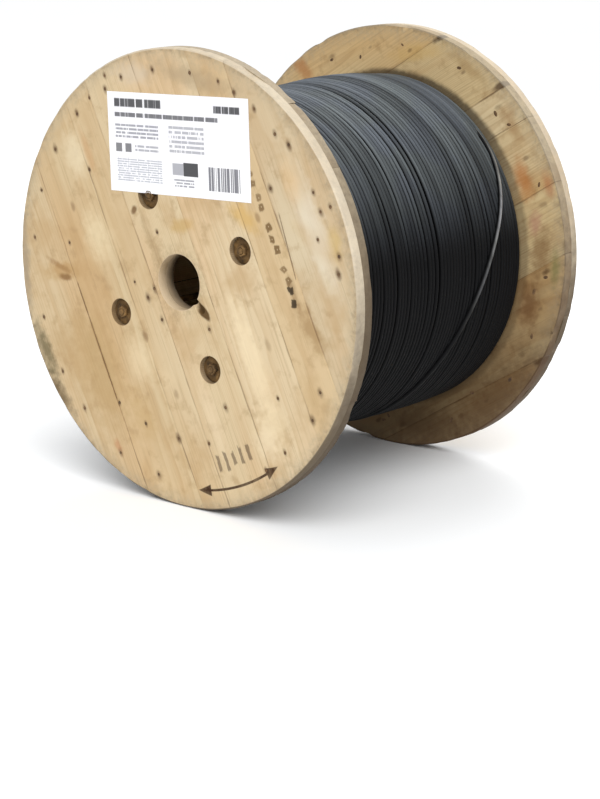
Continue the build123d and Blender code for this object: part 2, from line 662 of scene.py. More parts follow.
class WoodRecipe(Recipe):
    """The nodes of one wood: its clean colour, and what lies over it, step by step."""

    def __init__(self, look: WoodFinish) -> None:
        """Starts the material with the signals that its steps share.

        Args:
            look: what the wood looks like.
        """
        super().__init__(look.name)
        self.look = look
        self.colour = look.pale
        self.place = self.from_axle()
        self.grain = self.placed(self.place, (0, 0, 0), look.turn, (1, 1, 1))
        self.shifted = self.grain + (look.seed, look.seed * 0.7, look.seed * 1.3)
        flat_radius = (self.place * (1, 0, 1)).length()
        self.radius_mm = flat_radius / MM
        self.from_rim_mm = (SIZES.radius - flat_radius) / MM
        self.height_mm = self.place.part("Z") / MM
        self.fibre = self.noise(self.shifted * (7.0, 330.0, 330.0), 1.0, 3.0, 0.6)
        self.streak = self.noise(self.shifted * (1.6, 48.0, 48.0), 1.0, 3.0, 0.55)
        self.blotch = self.noise(self.shifted, 7.0, 4.0, 0.6)
        self.ragged = self.noise(self.place, 55.0, 3.0, 0.6) - 0.5
        self.speckle = self.noise(self.place, 130.0, 4.0, 0.65)
        self.late_wood = self._late_wood()

    def build(self) -> bpy.types.Material:
        """Lays every step over the one before.

        Returns:
            The material.
        """
        self._bare()
        self._grime()
        self._bore()
        for mark in self.look.marks:
            self.cover(mark.mask(self, self.place, self.ragged), mark.colour)
        self._seams()
        self._rim_and_foot()
        relief = 0.55 * self.fibre + 0.3 * self.streak + 0.15 * self.late_wood
        return self.finish(0.62 + 0.25 * self.fibre, relief, 0.0007, {"Specular IOR Level": 0.28})

    def _late_wood(self) -> Signal:
        """The dark part of each year's ring.

        Returns:
            The share, 0 to 1.
        """
        wander = self.drift(self.shifted * (0.9, 4.0, 4.0), 1.0, 3.0) * (0.0, 0.026, 0.026)
        to_pith, behind = self.look.pith
        spoke = (self.grain + wander - (0, behind, to_pith)) * (0.03, 1, 1)
        waver = self.noise(self.shifted, 9.0) * 0.8
        rings = (spoke.length() / self.look.ring_width + waver).fraction()
        return rings ** 2.2 * self.fade(rings, 1.0, 0.86)

    def _bare(self) -> None:
        """The colour of the clean wood."""
        look, fade = self.look, self.fade
        cloud = self.noise(self.shifted * (1.7, 7.0, 7.0), 1.0, 3.0)
        self.cover(fade(cloud, 0.40, 0.66) * 0.75, look.flush)
        self.cover(self.late_wood * (0.46 * look.contrast), look.ring)
        self.cover(fade(self.streak, 0.48, 0.74) * 0.38 * look.contrast, look.ring)
        self.cover(fade(self.fibre, 0.52, 0.74) * 0.3, scaled(look.ring, 0.62))
        self.cover(fade(self.blotch, 0.56, 0.74) * 0.35, scaled(look.pale, 1.13))
        self.cover(fade(self.blotch, 0.48, 0.3) * 0.5, look.ring)
        mottle = fade(self.noise(self.place, 26.0, 4.0, 0.6), 0.52, 0.7)
        self.cover(mottle * look.mottling, scaled(look.ring, 0.8))

    def _grime(self) -> None:
        """Dirt towards the rim, and painted shade on the wood next to the winding."""
        wear_and_shade, fade = self.look.wear_and_shade, self.fade
        for grime in wear_and_shade.grimes:
            share = fade(self.from_rim_mm + self.ragged * 34.0, grime.inside, grime.outside)
            share = share * (0.55 + 0.75 * fade(self.speckle, 0.36, 0.7)) * grime.strength
            self.cover(share, grime.colour)
        # Painted shade next to the winding, stronger above the axle
        if wear_and_shade.cable_shade:
            near = fade(self.radius_mm + self.ragged * 10.0, *CABLE_CONTACT) * wear_and_shade.cable_shade
            near = near * (0.55 + 0.45 * fade(self.place.part("Z"), 0.08, 0.26))
            self.cover(near, shade(44, 36, 26))

    def _bore(self) -> None:
        """Dirt round the spindle bore, and the bore's lining with painted shade, darker inwards and at its
        top.
        """
        fade, mix = self.fade, self.mix
        if self.look.wear_and_shade.at_bore:
            hub = fade(self.radius_mm + self.ragged * 40.0, 78.0, 46.0) * self.look.wear_and_shade.at_bore
            self.cover(hub * fade(self.speckle, 0.3, 0.65), shade(120, 96, 62))
        # Painted shade in the bore: the lining darkens deeper in and on its upper side; near the mouth it
        # takes the face's colour
        off_middle = abs(self.place.part("Y")) / MM
        deep = fade(off_middle + self.ragged * 12.0, *BORE_DEPTH)
        top_shade = fade(self.height_mm + self.ragged * 24.0, *BORE_SHADE)
        low_lining = mix(deep, shade(184, 164, 134), shade(146, 128, 106))
        high_lining = mix(deep, shade(128, 104, 70), shade(58, 45, 29))
        mouth = fade(off_middle + self.ragged * 10.0, *BORE_MOUTH)
        lining = mix(mouth * 0.9, mix(top_shade, low_lining, high_lining), shade(204, 182, 150))
        self.cover(fade(self.radius_mm, *LINING_EDGE) * 0.96, lining)

    def _seams(self) -> None:
        """Patchy dirt along the two long edges of a board."""
        if self.look.edges is None:
            return
        low, high = self.look.edges
        across = 0.0 - self.grain.part("Z")
        to_edge = (across - low) & (high - across)
        patchy = self.fade(self.noise(self.shifted * (1.0, 0.3, 0.3), 11.0), 0.44, 0.62)
        dirt = self.fade(to_edge / MM + self.ragged * 2.0, 1.6, 0.2) * (0.05 + 0.5 * patchy)
        self.cover(dirt, shade(104, 78, 50))

    def _rim_and_foot(self) -> None:
        """The tone of the sawn rim, with its painted highlight on the outer plies, and the painted shade
        towards the floor.
        """
        rim, foot = self.look.wear_and_shade.rim, self.look.wear_and_shade.foot
        at_rim = self.fade(self.from_rim_mm, *RIM_EDGE)
        uneven = self.blotch - 0.5
        if rim is not None:
            self.cover(at_rim * (0.7 + 0.6 * uneven) * rim.strength, rim.colour)
        # Painted shade, darker towards the floor and stronger on the rim
        if foot is not None:
            height = self.height_mm + self.ragged * 90.0 + uneven * 200.0 - at_rim * foot.rim_rise
            cover = foot.on_face + (foot.on_rim - foot.on_face) * at_rim
            self.cover(self.fade(height, foot.top, foot.bottom) * cover, foot.colour)


@dataclass(frozen=True)
class RustFinish:
    """Rusted mild steel."""

    name: str
    dark: Colour
    middle: Colour
    bright: Colour
    grain: float

    def material(self) -> bpy.types.Material:
        """Makes the material.

        Returns:
            The material.
        """
        recipe = Recipe(self.name)
        place = recipe.from_axle()
        broad = recipe.noise(place, 60.0 * self.grain, 4.0, 0.6)
        pits = recipe.noise(place, 420.0 * self.grain, 4.0, 0.7)
        recipe.colour = recipe.ramp(broad, ((0.3, self.dark), (0.5, self.middle), (0.72, self.bright)))
        recipe.cover(recipe.fade(pits, 0.52, 0.7) * 0.6, self.dark)
        relief = 0.5 * broad + 0.5 * pits
        return recipe.finish(0.68 + 0.25 * pits, relief, 0.0006, {"Metallic": 0.1})


@dataclass(frozen=True)
class SheathFinish:
    """Black cable sheath, with a dusting and a painted sheen on its upper side."""

    name: str
    black: Colour
    dust_and_sheen_colour: Colour
    dust_and_sheen_share: float
    dust_and_sheen_from: float = -0.02
    dust_and_sheen_full: float = 0.27
    shine: float = 0.12
    on_crowns: bool = False
    dull: tuple[tuple[float, float, float], ...] = ()

    def material(self) -> bpy.types.Material:
        """Makes the material.

        Returns:
            The material.
        """
        recipe = Recipe(self.name)
        place = recipe.from_axle()
        cloud = recipe.noise(place, 6.0, 4.0, 0.6)
        scuff = recipe.noise(place, 160.0, 4.0, 0.7)
        fine = recipe.noise(place, 900.0, 2.0, 0.6)
        # A dusting and painted sheen: paler towards the top of the winding and, with on_crowns, on the top
        # of each turn
        height = recipe.fade(place.part("Z"), self.dust_and_sheen_from, self.dust_and_sheen_full)
        banding = recipe.noise(place * (1.5, 75.0, 1.5), 1.0, 2.0, 0.7)
        dust_and_sheen = height * (0.25 + 0.6 * cloud + 0.7 * recipe.fade(banding, 0.3, 0.7)) * self.dust_and_sheen_share
        dust_and_sheen = dust_and_sheen + recipe.fade(scuff, 0.60, 0.74) * 0.12 * self.dust_and_sheen_share
        if self.on_crowns:
            dust_and_sheen = dust_and_sheen * recipe.fade(recipe.attribute(CROWN), -0.1, 0.9)
        along = place.part("Y") / MM + (cloud - 0.5) * 24.0
        for middle, reach, loss in self.dull:
            dust_and_sheen = dust_and_sheen * (1 - loss * recipe.fade(abs(along - middle), reach, 0.4 * reach))
        tinted = tuple(value * tint for value, tint in zip(self.dust_and_sheen_colour, (0.96, 0.96, 1.05)))
        dust_and_sheen_colour = recipe.mix(recipe.fade(recipe.noise(place, 11.0), 0.4, 0.6), self.dust_and_sheen_colour, tinted)
        recipe.colour = recipe.mix(dust_and_sheen, self.black, dust_and_sheen_colour)
        roughness = 0.40 + 0.18 * scuff + 0.1 * cloud
        relief = 0.5 * scuff + 0.5 * fine
        return recipe.finish(roughness, relief, 0.00012, {"Specular IOR Level": self.shine})


class Print(Enum):
    """Kinds of plain printing on the paper label."""

    SOLID = "solid"
    LINES = "lines"
    STRIPES = "stripes"
    CELLS = "cells"


@dataclass(frozen=True)
class PrintBlock:
    """One block of plain printing, in millimetres from the label's middle."""

    kind: Print
    left: float
    top: float
    width: float
    height: float
    pitch: float
    ink: Colour
    strength: float = 1.0


@dataclass(frozen=True)
class PaperFinish:
    """White printed paper."""

    name: str
    middle: tuple[float, float]
    turn: float
    blocks: tuple[PrintBlock, ...]

    def material(self) -> bpy.types.Material:
        """Makes the material.

        Returns:
            The material.
        """
        recipe = Recipe(self.name)
        place = recipe.from_axle()
        centre = (self.middle[0] * MM, 0, self.middle[1] * MM)
        local = recipe.placed(place, centre, (0, -radians(self.turn), 0), (MM, MM, MM))
        across, up = local.part("X"), local.part("Z")
        cloud = recipe.noise(place, 14.0, 3.0)
        fibre = recipe.noise(place, 700.0, 3.0, 0.6)
        recipe.colour = shade(250, 249, 250)
        recipe.cover(recipe.fade(cloud, 0.42, 0.7) * 0.5, shade(240, 238, 246))
        for block in self.blocks:
            recipe.cover(self._cover(recipe, block, across, up), block.ink)
        relief = 0.6 * cloud + 0.4 * fibre
        return recipe.finish(0.52 + 0.1 * fibre, relief, 0.0002, {"Specular IOR Level": 0.35})

    def _cover(self, recipe: Recipe, block: PrintBlock, across: Signal, up: Signal) -> Signal:
        """Where a block's ink lies.

        Args:
            recipe: the material.
            block: the block.
            across, up: millimetres from the label's middle.

        Returns:
            The share of ink, 0 to 1.
        """
        right, bottom = block.left + block.width, block.top - block.height
        inside = recipe.fade(across, block.left - BLEED, block.left + BLEED)
        inside = inside & recipe.fade(across, right + BLEED, right - BLEED)
        inside = inside & recipe.fade(up, bottom - BLEED, bottom + BLEED)
        inside = inside & recipe.fade(up, block.top + BLEED, block.top - BLEED)
        down = (block.top - up) / block.pitch
        if block.kind is Print.LINES:
            line = recipe.fade(abs(down.fraction() - 0.45), 0.34, 0.24)
            spot = recipe.take(0, "ShaderNodeCombineXYZ", inputs={0: across * 0.16, 1: down.whole() * 7.3})
            word = recipe.noise(spot, 1.0, 3.0, 0.7)
            inside = inside * line * recipe.fade(word, 0.40, 0.46)
        elif block.kind is Print.STRIPES:
            number = (across / block.pitch).whole()
            bar = recipe.noise(recipe.take(0, "ShaderNodeCombineXYZ", inputs={0: number * 3.7}), 1.0, 0.0)
            inside = inside * recipe.fade(bar, 0.48, 0.5)
        elif block.kind is Print.CELLS:
            rows = recipe.fade(abs(down.fraction() - 0.5), 0.42, 0.46)
            columns = recipe.fade(abs((across / (3 * block.pitch)).fraction() - 0.5), 0.46, 0.485)
            inside = inside * (rows | columns)
        return inside * block.strength


def keep(
    name: str,
    mesh: bmesh.types.BMesh,
    material: bpy.types.Material,
    smooth: float = 35.0,
) -> bpy.types.Object:
    """Turns a finished bmesh into a piece that rides on the drum.

    Args:
        name: the piece's name.
        mesh: its mesh, in the drum's frame; it is freed.
        material: its finish.
        smooth: edges sharper than this many degrees stay sharp.

    Returns:
        The piece.
    """
    data = bpy.data.meshes.new(name)
    mesh.to_mesh(data)
    mesh.free()
    data.shade_smooth()
    data.set_sharp_from_angle(angle=radians(smooth))
    data.materials.append(material)
    piece = put(name, data)
    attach(piece, "root")
    LOG.info("%s: %d faces", name, len(data.polygons))
    return piece


def merged_copy(node: str) -> bmesh.types.BMesh:
    """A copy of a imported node's mesh, with its triangles joined into whole faces.

    Args:
        node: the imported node's name.

    Returns:
        The copy.
    """
    mesh = bmesh.new()
    mesh.from_mesh(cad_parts[node].data)
    bmesh.ops.remove_doubles(mesh, verts=mesh.verts, dist=MERGE)
    bmesh.ops.dissolve_limit(mesh, angle_limit=radians(1.0), verts=mesh.verts, edges=mesh.edges)
    return mesh


def round_arrises(mesh: bmesh.types.BMesh, offset: float, over: float = 25.0, segments: int = 2) -> None:
    """Rounds the sharp edges of a mesh.

    Args:
        mesh: the mesh.
        offset: width of the rounding.
        over: edges that turn by more than this many degrees are rounded.
        segments: faces across the rounding.
    """
    sharp = [
        edge for edge in mesh.edges
        if len(edge.link_faces) == 2 and edge.calc_face_angle(0.0) > radians(over)
    ]
    bmesh.ops.bevel(
        mesh, geom=sharp, offset=offset, segments=segments, profile=0.5,
        affect="EDGES", material=-1, clamp_overlap=True,
    )


def close_up(mesh: bmesh.types.BMesh) -> None:
    """Joins a mesh's doubled points and turns its faces outwards."""
    bmesh.ops.remove_doubles(mesh, verts=mesh.verts, dist=MERGE)
    bmesh.ops.recalc_face_normals(mesh, faces=mesh.faces)


def put(name: str, data: bpy.types.ID) -> bpy.types.Object:
    """Makes an object at the scene's origin.

    Args:
        name: the object's name.
        data: its mesh, curve, light or camera.

    Returns:
        The object.
    """
    made = bpy.data.objects.new(name, data)
    bpy.context.scene.collection.objects.link(made)
    return made


def polar(point: Vector) -> tuple[float, float]:
    """How far a point lies from the axle, and its angle round the axle."""
    x, z = point.x, point.z - SIZES.axle.z
    return hypot(x, z), atan2(z, x)


def set_radius(vertex: bmesh.types.BMVert, radius: float) -> None:
    """Moves a point straight away from the axle, or towards it, to a radius."""
    share = radius / polar(vertex.co)[0]
    vertex.co.x, vertex.co.z = vertex.co.x * share, SIZES.axle.z + (vertex.co.z - SIZES.axle.z) * share


def extent(points: Iterable[Any], way: Vector) -> tuple[float, float]:
    """How far some vertices reach, back and forth, along a way through the axle."""
    places = [(point.co - SIZES.axle).dot(way) for point in points]
    return min(places), max(places)


def flow(*place: float) -> float:
    """Smooth noise at three numbers, about -1 to 1."""
    return noise.noise(Vector(place))


@dataclass(frozen=True)
class Grain:
    """The way that a ply's grain runs, in degrees from +X towards +Z."""

    run: float

    @property
    def along(self) -> Vector:
        """The way along the grain."""
        return Vector((cos(radians(self.run)), 0, sin(radians(self.run))))

    @property
    def right(self) -> Vector:
        """The way across it, to the right."""
        return Vector((sin(radians(self.run)), 0, -cos(radians(self.run))))

    @property
    def turn(self) -> tuple[float, float, float]:
        """The turn that puts the grain's way on X, for a material."""
        return (0.0, -radians(self.run), 0.0)

    def at(self, across: float, along: float) -> tuple[float, float]:
        """The x and z of a place across and along the grain's way through the axle."""
        spot = self.right * across + self.along * along
        return spot.x, spot.z

    def across(self, x: float, z: float) -> float:
        """How far a place lies to the right of the grain's way through the axle."""
        return self.right.x * x + self.right.z * z


@dataclass(frozen=True)
class Tone:
    """The colours of one board."""

    pale: Colour
    flush: Colour
    ring: Colour
    contrast: float = 1.0


@dataclass(frozen=True)
class Face:
    """What all boards of a ply share: the grain, the tones, the marks, and the dirt, painted shade and
    painted highlight.
    """

    grain: Grain
    tones: Sequence[Tone]
    marks: tuple[Mark, ...]
    seed: int
    wear_and_shade: WearAndShade

    def finish(self, name: str, number: int, low: float, high: float) -> WoodFinish:
        """The finish of one board.

        Args:
            name: the material's name.
            number: the board's number, from 1.
            low, high: metres from the axle to its edges, to the right of the grain's way.

        Returns:
            The finish.
        """
        draw = random.Random(self.seed * 100 + number)
        tone = self.tones[(number - 1) % len(self.tones)]
        pith_across = -draw.uniform(low, high)
        behind = draw.choice((-1, 1)) * SIZES.half_width + draw.uniform(-0.09, 0.09)
        near = tuple(
            mark for mark in self.marks
            if low / MM - mark.reach() < self.grain.across(*mark.middle()) < high / MM + mark.reach()
        )
        return WoodFinish(
            name=name, turn=self.grain.turn, pale=tone.pale, ring=tone.ring, flush=tone.flush,
            pith=(pith_across, behind), ring_width=draw.uniform(2.6, 4.2) * MM,
            seed=draw.uniform(1, 40), wear_and_shade=self.wear_and_shade, marks=near, edges=(low, high),
            contrast=tone.contrast,
        )


@dataclass
class Ply:
    """One ply of a flange: boards side by side, sawn to the circle."""

    name: str
    side: Side
    is_outer: bool
    slot: Slot
    face: Face
    cell: float = 8 * MM
    arris: float = 0.28 * MM
    shell: float = 3.0 * MM
    seam_band: float = 0.4 * MM
    seam_close: float = 0.57 * MM
    rim_band: float = 14 * MM
    chip_size: float = 5 * MM
    chip_depth: float = 9 * MM
    rim_skin: float = 2.5 * MM
    rim_arris: float = 4 * MM

    def __post_init__(self) -> None:
        """Works out the ways along and across the grain, and where the open face is."""
        self.along = self.face.grain.along
        self.right = self.face.grain.right
        half = SIZES.half_width if self.is_outer else SIZES.clear_half
        self.face_y = self.side.value * half
        self.into = -self.side.value if self.is_outer else self.side.value

    def node(self, number: int) -> str:
        """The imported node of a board."""
        return f"{self.name}_board_{number}"

    def build(self) -> None:
        """Builds every board of the ply."""
        for number in range(1, BOARDS_IN_PLY + 1):
            self._board(number)

    def _board(self, number: int) -> None:
        """Builds one board.

        Args:
            number: the board's number.
        """
        low, high = extent(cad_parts[self.node(number)].data.vertices, self.right)
        mesh = merged_copy(self.node(number))
        round_arrises(mesh, self.arris)
        self._slice(mesh, self.right)
        self._slice(mesh, self.along)
        self._wear(mesh, number, low, high)
        name = f"{self.name}_plank_{number}"
        finish = self.face.finish(name, number, low, high)
        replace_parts(keep(name, mesh, finish.material()), self.node(number))

    def _slice(self, mesh: bmesh.types.BMesh, way: Vector) -> None:
        """Cuts the faces of a board at even steps.

        Args:
            mesh: the board.
            way: the direction of the steps.
        """
        low, high = extent(mesh.verts, way)
        for step in range(floor(low / self.cell) + 1, floor(high / self.cell) + 1):
            bmesh.ops.bisect_plane(
                mesh,
                geom=mesh.verts[:] + mesh.edges[:] + mesh.faces[:],
                dist=MERGE,
                plane_co=SIZES.axle + way * (step * self.cell),
                plane_no=way,
            )

    def _wear(self, mesh: bmesh.types.BMesh, number: int, low: float, high: float) -> None:
        """Makes a board's face a little uneven, its seams open and close, and its rim worn.

        Args:
            mesh: the board.
            number: the board's number.
            low, high: its two edges.
        """
        draw = random.Random(self.face.seed * 10 + number)
        level = draw.uniform(0.35, 0.75) * MM
        cup = draw.uniform(-0.2, 0.35) * MM
        phase = draw.uniform(0, 50)
        middle, half = (low + high) / 2, (high - low) / 2
        left_seam = low if number > 1 else -SIZES.radius
        right_seam = high if number < BOARDS_IN_PLY else SIZES.radius
        for vertex in mesh.verts:
            offset = vertex.co - SIZES.axle
            along, across = offset.dot(self.along), offset.dot(self.right)
            if min(across - left_seam, right_seam - across) < self.seam_band:
                sign = -1 if across - left_seam < right_seam - across else 1
                opening = max(0.0, flow(along * 4, sign * 3.0, phase + 11) - 0.1)
                vertex.co += self.right * (sign * max(0.0, self.seam_close - 0.9 * MM * opening))
            radius, _ = polar(vertex.co)
            depth = abs(vertex.co.y - self.face_y)
            skin = max(0.0, 1 - depth / self.shell)
            at_rim = smoothstep(self.rim_band, 0, SIZES.radius - radius)
            bite = flow(along * 30, across * 30, phase + 7)
            chip = max(0.0, bite - 0.18) * self.chip_size * at_rim * max(0.0, 1 - depth / self.chip_depth)
            swell = 0.16 * MM * (1 + flow(along * 6, across * 15, phase))
            bow = cup * ((across - middle) / half) ** 2
            vertex.co.y += self.into * skin * (level + bow + swell + 0.5 * chip)
            if SIZES.radius - radius < self.rim_skin:
                worn = 0.15 * MM + 0.5 * MM * max(0.0, flow(along * 9, across * 9, phase + 3))
                hollow = max(0.0, flow(along * 22, across * 22, phase + 19) - 0.3) * self.chip_size
                bevel = (SIZES.radius - radius) * (depth < self.rim_arris)
                set_radius(vertex, SIZES.radius - worn - hollow - chip - bevel)


@dataclass
class Nails:
    """Nail heads, or bent-over nail points, on one face of a flange."""

    name: str
    places: Sequence[tuple[float, float]]
    face_y: float
    outward: int
    finish: RustFinish
    seed: int
    head: float = 2.9
    stretch: float = 1.0
    rise: float = 0.34 * MM
    sink: float = 0.62 * MM

    def build(self) -> None:
        """Builds the nails as one piece."""
        draw = random.Random(self.seed)
        mesh = bmesh.new()
        for x, z in self.places:
            size = self.head * draw.uniform(0.85, 1.15) * MM
            spin = Matrix.Rotation(draw.uniform(0, tau), 4, "Z")
            tilt = Matrix.Rotation(radians(draw.uniform(-2.5, 2.5)), 4, "X")
            upright = Matrix.Rotation(radians(90), 4, "X")
            flatten = Matrix.Diagonal((self.stretch, 1, self.rise / size, 1))
            place = Matrix.Translation(SIZES.on_face(x, z, self.face_y - self.outward * self.sink))
            bmesh.ops.create_uvsphere(
                mesh, u_segments=12, v_segments=6, radius=size,
                matrix=place @ upright @ tilt @ spin @ flatten,
            )
        bmesh.ops.recalc_face_normals(mesh, faces=mesh.faces)
        keep(self.name, mesh, self.finish.material(), 60.0)


@dataclass
class Ironwork:
    """The threaded tie rods with their washers and nuts."""

    finish: RustFinish
    pitch: float = 1.75 * MM
    thread_depth: float = 0.9 * MM
    thread_run: float = 30 * MM
    shank_share: float = 0.97
    batter: float = 0.12 * MM
    steps: int = 16

    def build(self) -> None:
        """Builds the rods, washers and nuts."""
        material = self.finish.material()
        for number in range(1, RODS + 1):
            self._rod(number, material)
        for node, arris in (("washers", 0.5 * MM), ("nuts", 0.35 * MM)):
            mesh = merged_copy(node)
            round_arrises(mesh, arris)
            self._batter(mesh)
            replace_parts(keep(f"{node}_rusted", mesh, material, 32.0), node)

    def _batter(self, mesh: bmesh.types.BMesh) -> None:
        """Moves the vertices a little, so that no two pieces are quite alike.

        Args:
            mesh: the pieces.
        """
        for vertex in mesh.verts:
            spot = vertex.co * 60
            shift = Vector((flow(*spot), flow(spot.y, spot.z, spot.x), flow(spot.z, spot.x, spot.y)))
            vertex.co += shift * self.batter

    def _rod(self, number: int, material: bpy.types.Material) -> None:
        """Builds one rod, with a thread at each end.

        Args:
            number: the rod's number.
            material: its finish.
        """
        low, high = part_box(f"tie_rod_{number}")
        centre = (low + high) / 2
        radius = (high.x - low.x) / 2
        root = radius - self.thread_depth
        mesh = bmesh.new()
        plain_end = high.y - self.thread_run
        shank = radius * self.shank_share
        outline = [(0.0, -plain_end), (root, -plain_end), (shank, -plain_end + self.pitch)]
        outline += [(shank, plain_end - self.pitch), (root, plain_end), (0.0, plain_end)]
        self._turn(mesh, centre, outline, 0.0)
        for sign in (-1, 1):
            count = int(self.thread_run / self.pitch) - 1
            start = plain_end - self.pitch / 2
            outline = []
            for step in range(count):
                outline += [(root, start + step * self.pitch), (radius, start + (step + 0.5) * self.pitch)]
            outline.append((root, start + count * self.pitch))
            self._turn(mesh, centre, [(r, sign * y) for r, y in outline], sign * self.pitch)
            tip = [(0.0, start), (root * 1.02, start), (root * 1.02, high.y - 0.3 * MM)]
            tip += [(root * 0.9, high.y), (0.0, high.y)]
            self._turn(mesh, centre, [(r, sign * y) for r, y in tip], 0.0)
        close_up(mesh)
        piece = keep(f"threaded_rod_{number}", mesh, material, 40.0)
        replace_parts(piece, f"tie_rod_{number}")

    def _turn(
        self,
        mesh: bmesh.types.BMesh,
        centre: Vector,
        outline: Sequence[tuple[float, float]],
        advance: float,
    ) -> None:
        """Turns an outline about a rod's axis.

        Args:
            mesh: the mesh that gets it.
            centre: a point on the axis.
            outline: (radius, place along the rod) pairs.
            advance: how far the outline moves along the rod in one turn, for a thread.
        """
        points = [mesh.verts.new(centre + Vector((r, y - centre.y, 0))) for r, y in outline]
        edges = [mesh.edges.new(pair) for pair in zip(points, points[1:])]
        bmesh.ops.spin(
            mesh, geom=points + edges, cent=centre, axis=(0, 1, 0),
            dvec=(0, advance / self.steps, 0), angle=tau, steps=self.steps, use_merge=False,
        )


@dataclass
class Winding:
    """The cable on the barrel: an outer layer of turns, the layer under it, and a loose strand."""

    finish: SheathFinish
    shaded: SheathFinish
    strand_finish: SheathFinish
    cable: float = 8.0 * MM
    turns: int = 60
    steps: int = 80
    sides: int = 10
    under_steps: int = 56
    under_sides: int = 8
    core_steps: int = 96
    start: float = radians(-112)
    tuck: float = 0.6 * MM
    flatness: float = 6.0 * MM
    swelling: float = 3.0 * MM
    gap_after: Mapping[int, float] = field(default_factory=lambda: {
        4: 1.5, 9: 3.0, 13: 2.0, 16: 4.5, 20: 5.0, 24: 5.0, 27: 2.0, 29: 3.0, 32: 7.0, 35: 1.0,
        40: 2.0, 43: 5.5, 45: 1.5, 48: 5.0, 51: 4.0, 54: 1.5, 57: 1.5,
    })
    strand: Sequence[tuple[float, float, float]] = (
        (254, 47, -4.0), (252, 41, 0.5), (246, 34, 3.4), (232, 25.5, 3.9), (211, 16.5, 3.9),
        (184, 8.5, 3.9), (154, -1.5, 3.9), (130, -10, 3.9), (106, -20, 3.9), (83, -32, 3.9),
        (63, -46, 3.9), (46, -60, 2.6), (36, -71, -1.0), (30, -80, -6.0),
    )
    kept: dict[int, list[float]] = field(default_factory=dict)

    def build(self) -> None:
        """Builds the turns, the layer under them and the strand."""
        outer = keep("cable_turns", self._outer_layer(), self.finish.material(), 80.0)
        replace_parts(outer, "cable_winding")
        keep("cable_under_layer", self._under_layer(), self.shaded.material(), 80.0)
        keep("cable_strand", self._strand_mesh(), self.strand_finish.material(), 60.0)

    def _helix(self, radius: float, turns: int, steps: int, sides: int, hand: int) -> bmesh.types.BMesh:
        """Evenly spaced turns of cable.

        Args:
            radius: of the turns' middle line.
            turns: their number.
            steps: steps to a turn.
            sides: sides of the cable.
            hand: 1 to wind towards the rear flange, -1 the other way.

        Returns:
            The mesh.
        """
        mesh = bmesh.new()
        pitch = 2 * SIZES.clear_half / turns
        turn = Matrix.Rotation(-self.start, 4, "Y")
        place = Matrix.Translation((0, -hand * (SIZES.clear_half - pitch / 2), SIZES.axle.z))
        matrix = place @ turn @ Matrix.Translation((radius, 0, 0))
        bmesh.ops.create_circle(mesh, segments=sides, radius=self.cable / 2, matrix=matrix)
        bmesh.ops.spin(
            mesh, geom=mesh.verts[:] + mesh.edges[:], cent=SIZES.axle, axis=(0, -1, 0),
            dvec=(0, hand * pitch / steps, 0), angle=tau, steps=steps, use_merge=False,
        )
        one_turn = mesh.verts[:] + mesh.edges[:] + mesh.faces[:]
        for number in range(1, turns - 1):
            copied = bmesh.ops.duplicate(mesh, geom=one_turn)["geom"]
            moved = [part for part in copied if isinstance(part, bmesh.types.BMVert)]
            bmesh.ops.translate(mesh, verts=moved, vec=(0, hand * pitch * number, 0))
        bmesh.ops.remove_doubles(mesh, verts=mesh.verts, dist=MERGE)
        open_edges = [edge for edge in mesh.edges if edge.is_boundary]
        bmesh.ops.holes_fill(mesh, edges=open_edges, sides=sides)
        bmesh.ops.recalc_face_normals(mesh, faces=mesh.faces)
        return mesh

    def _outer_layer(self) -> bmesh.types.BMesh:
        """The turns that show, with the gaps where they part.

        Returns:
            The mesh.
        """
        radius = SIZES.winding_radius(0.0)
        mesh = self._helix(radius, self.turns, self.steps, self.sides, 1)
        pitch = 2 * SIZES.clear_half / self.turns
        first = -SIZES.clear_half + pitch / 2
        crown = mesh.verts.layers.float.new(CROWN)
        for vertex in mesh.verts:
            now, way = polar(vertex.co)
            share = (way - self.start) % tau / tau
            number = floor((vertex.co.y - first) / pitch - share + 0.5)
            off_line = vertex.co.y - (first + (number + share) * pitch)
            line = self._place(number, way, share)
            middle = self._skin(line, way) - self.cable / 2 - self.tuck
            vertex[crown] = (now - radius) / (self.cable / 2)
            vertex.co.y = line + off_line
            set_radius(vertex, now + middle - radius + self._lift(number + share, way))
        return mesh

    def _skin(self, y: float, way: float) -> float:
        """Radius of the winding, which is pulled a little flat on the side of +X.

        Args:
            y: the place along the axle.
            way: the angle round the axle.

        Returns:
            The radius in metres.
        """
        flat = self.flatness * max(0.0, cos(way - radians(12))) ** 1.5
        swell = self.swelling * max(0.0, sin(way)) * smoothstep(0.04, 0.12, y) * smoothstep(0.25, 0.17, y)
        return SIZES.winding_radius(y) - flat + swell

    def _extra(self, number: int, way: float) -> float:
        """The gap after a turn, which opens and closes round the drum.

        Args:
            number: the turn's number.
            way: the angle round the axle.

        Returns:
            The gap in millimetres.
        """
        base = self.gap_after.get(number, 0.08)
        swing = flow(number * 3.1, 1.3 * cos(way), 1.3 * sin(way))
        fine = max(0.0, flow(number * 1.7 + 40, 2.2 * cos(way), 2.2 * sin(way)) - 0.15)
        return base * max(0.1, 1 + 0.9 * swing) + 0.8 * fine

    def _place(self, number: int, way: float, share: float) -> float:
        """Where a turn's middle line lies along the axle.

        Args:
            number: the turn's number, from the front.
            way: the angle round the axle.
            share: the same as a share of the turn.

        Returns:
            The place along Y.
        """
        extras = self._extras(way)
        total = sum(extras)
        tight = (2 * SIZES.clear_half / MM - total) / self.turns
        place = tight / 2 + sum(extras[:number]) + number * tight + share * (tight + extras[number])
        return -SIZES.clear_half + place * MM

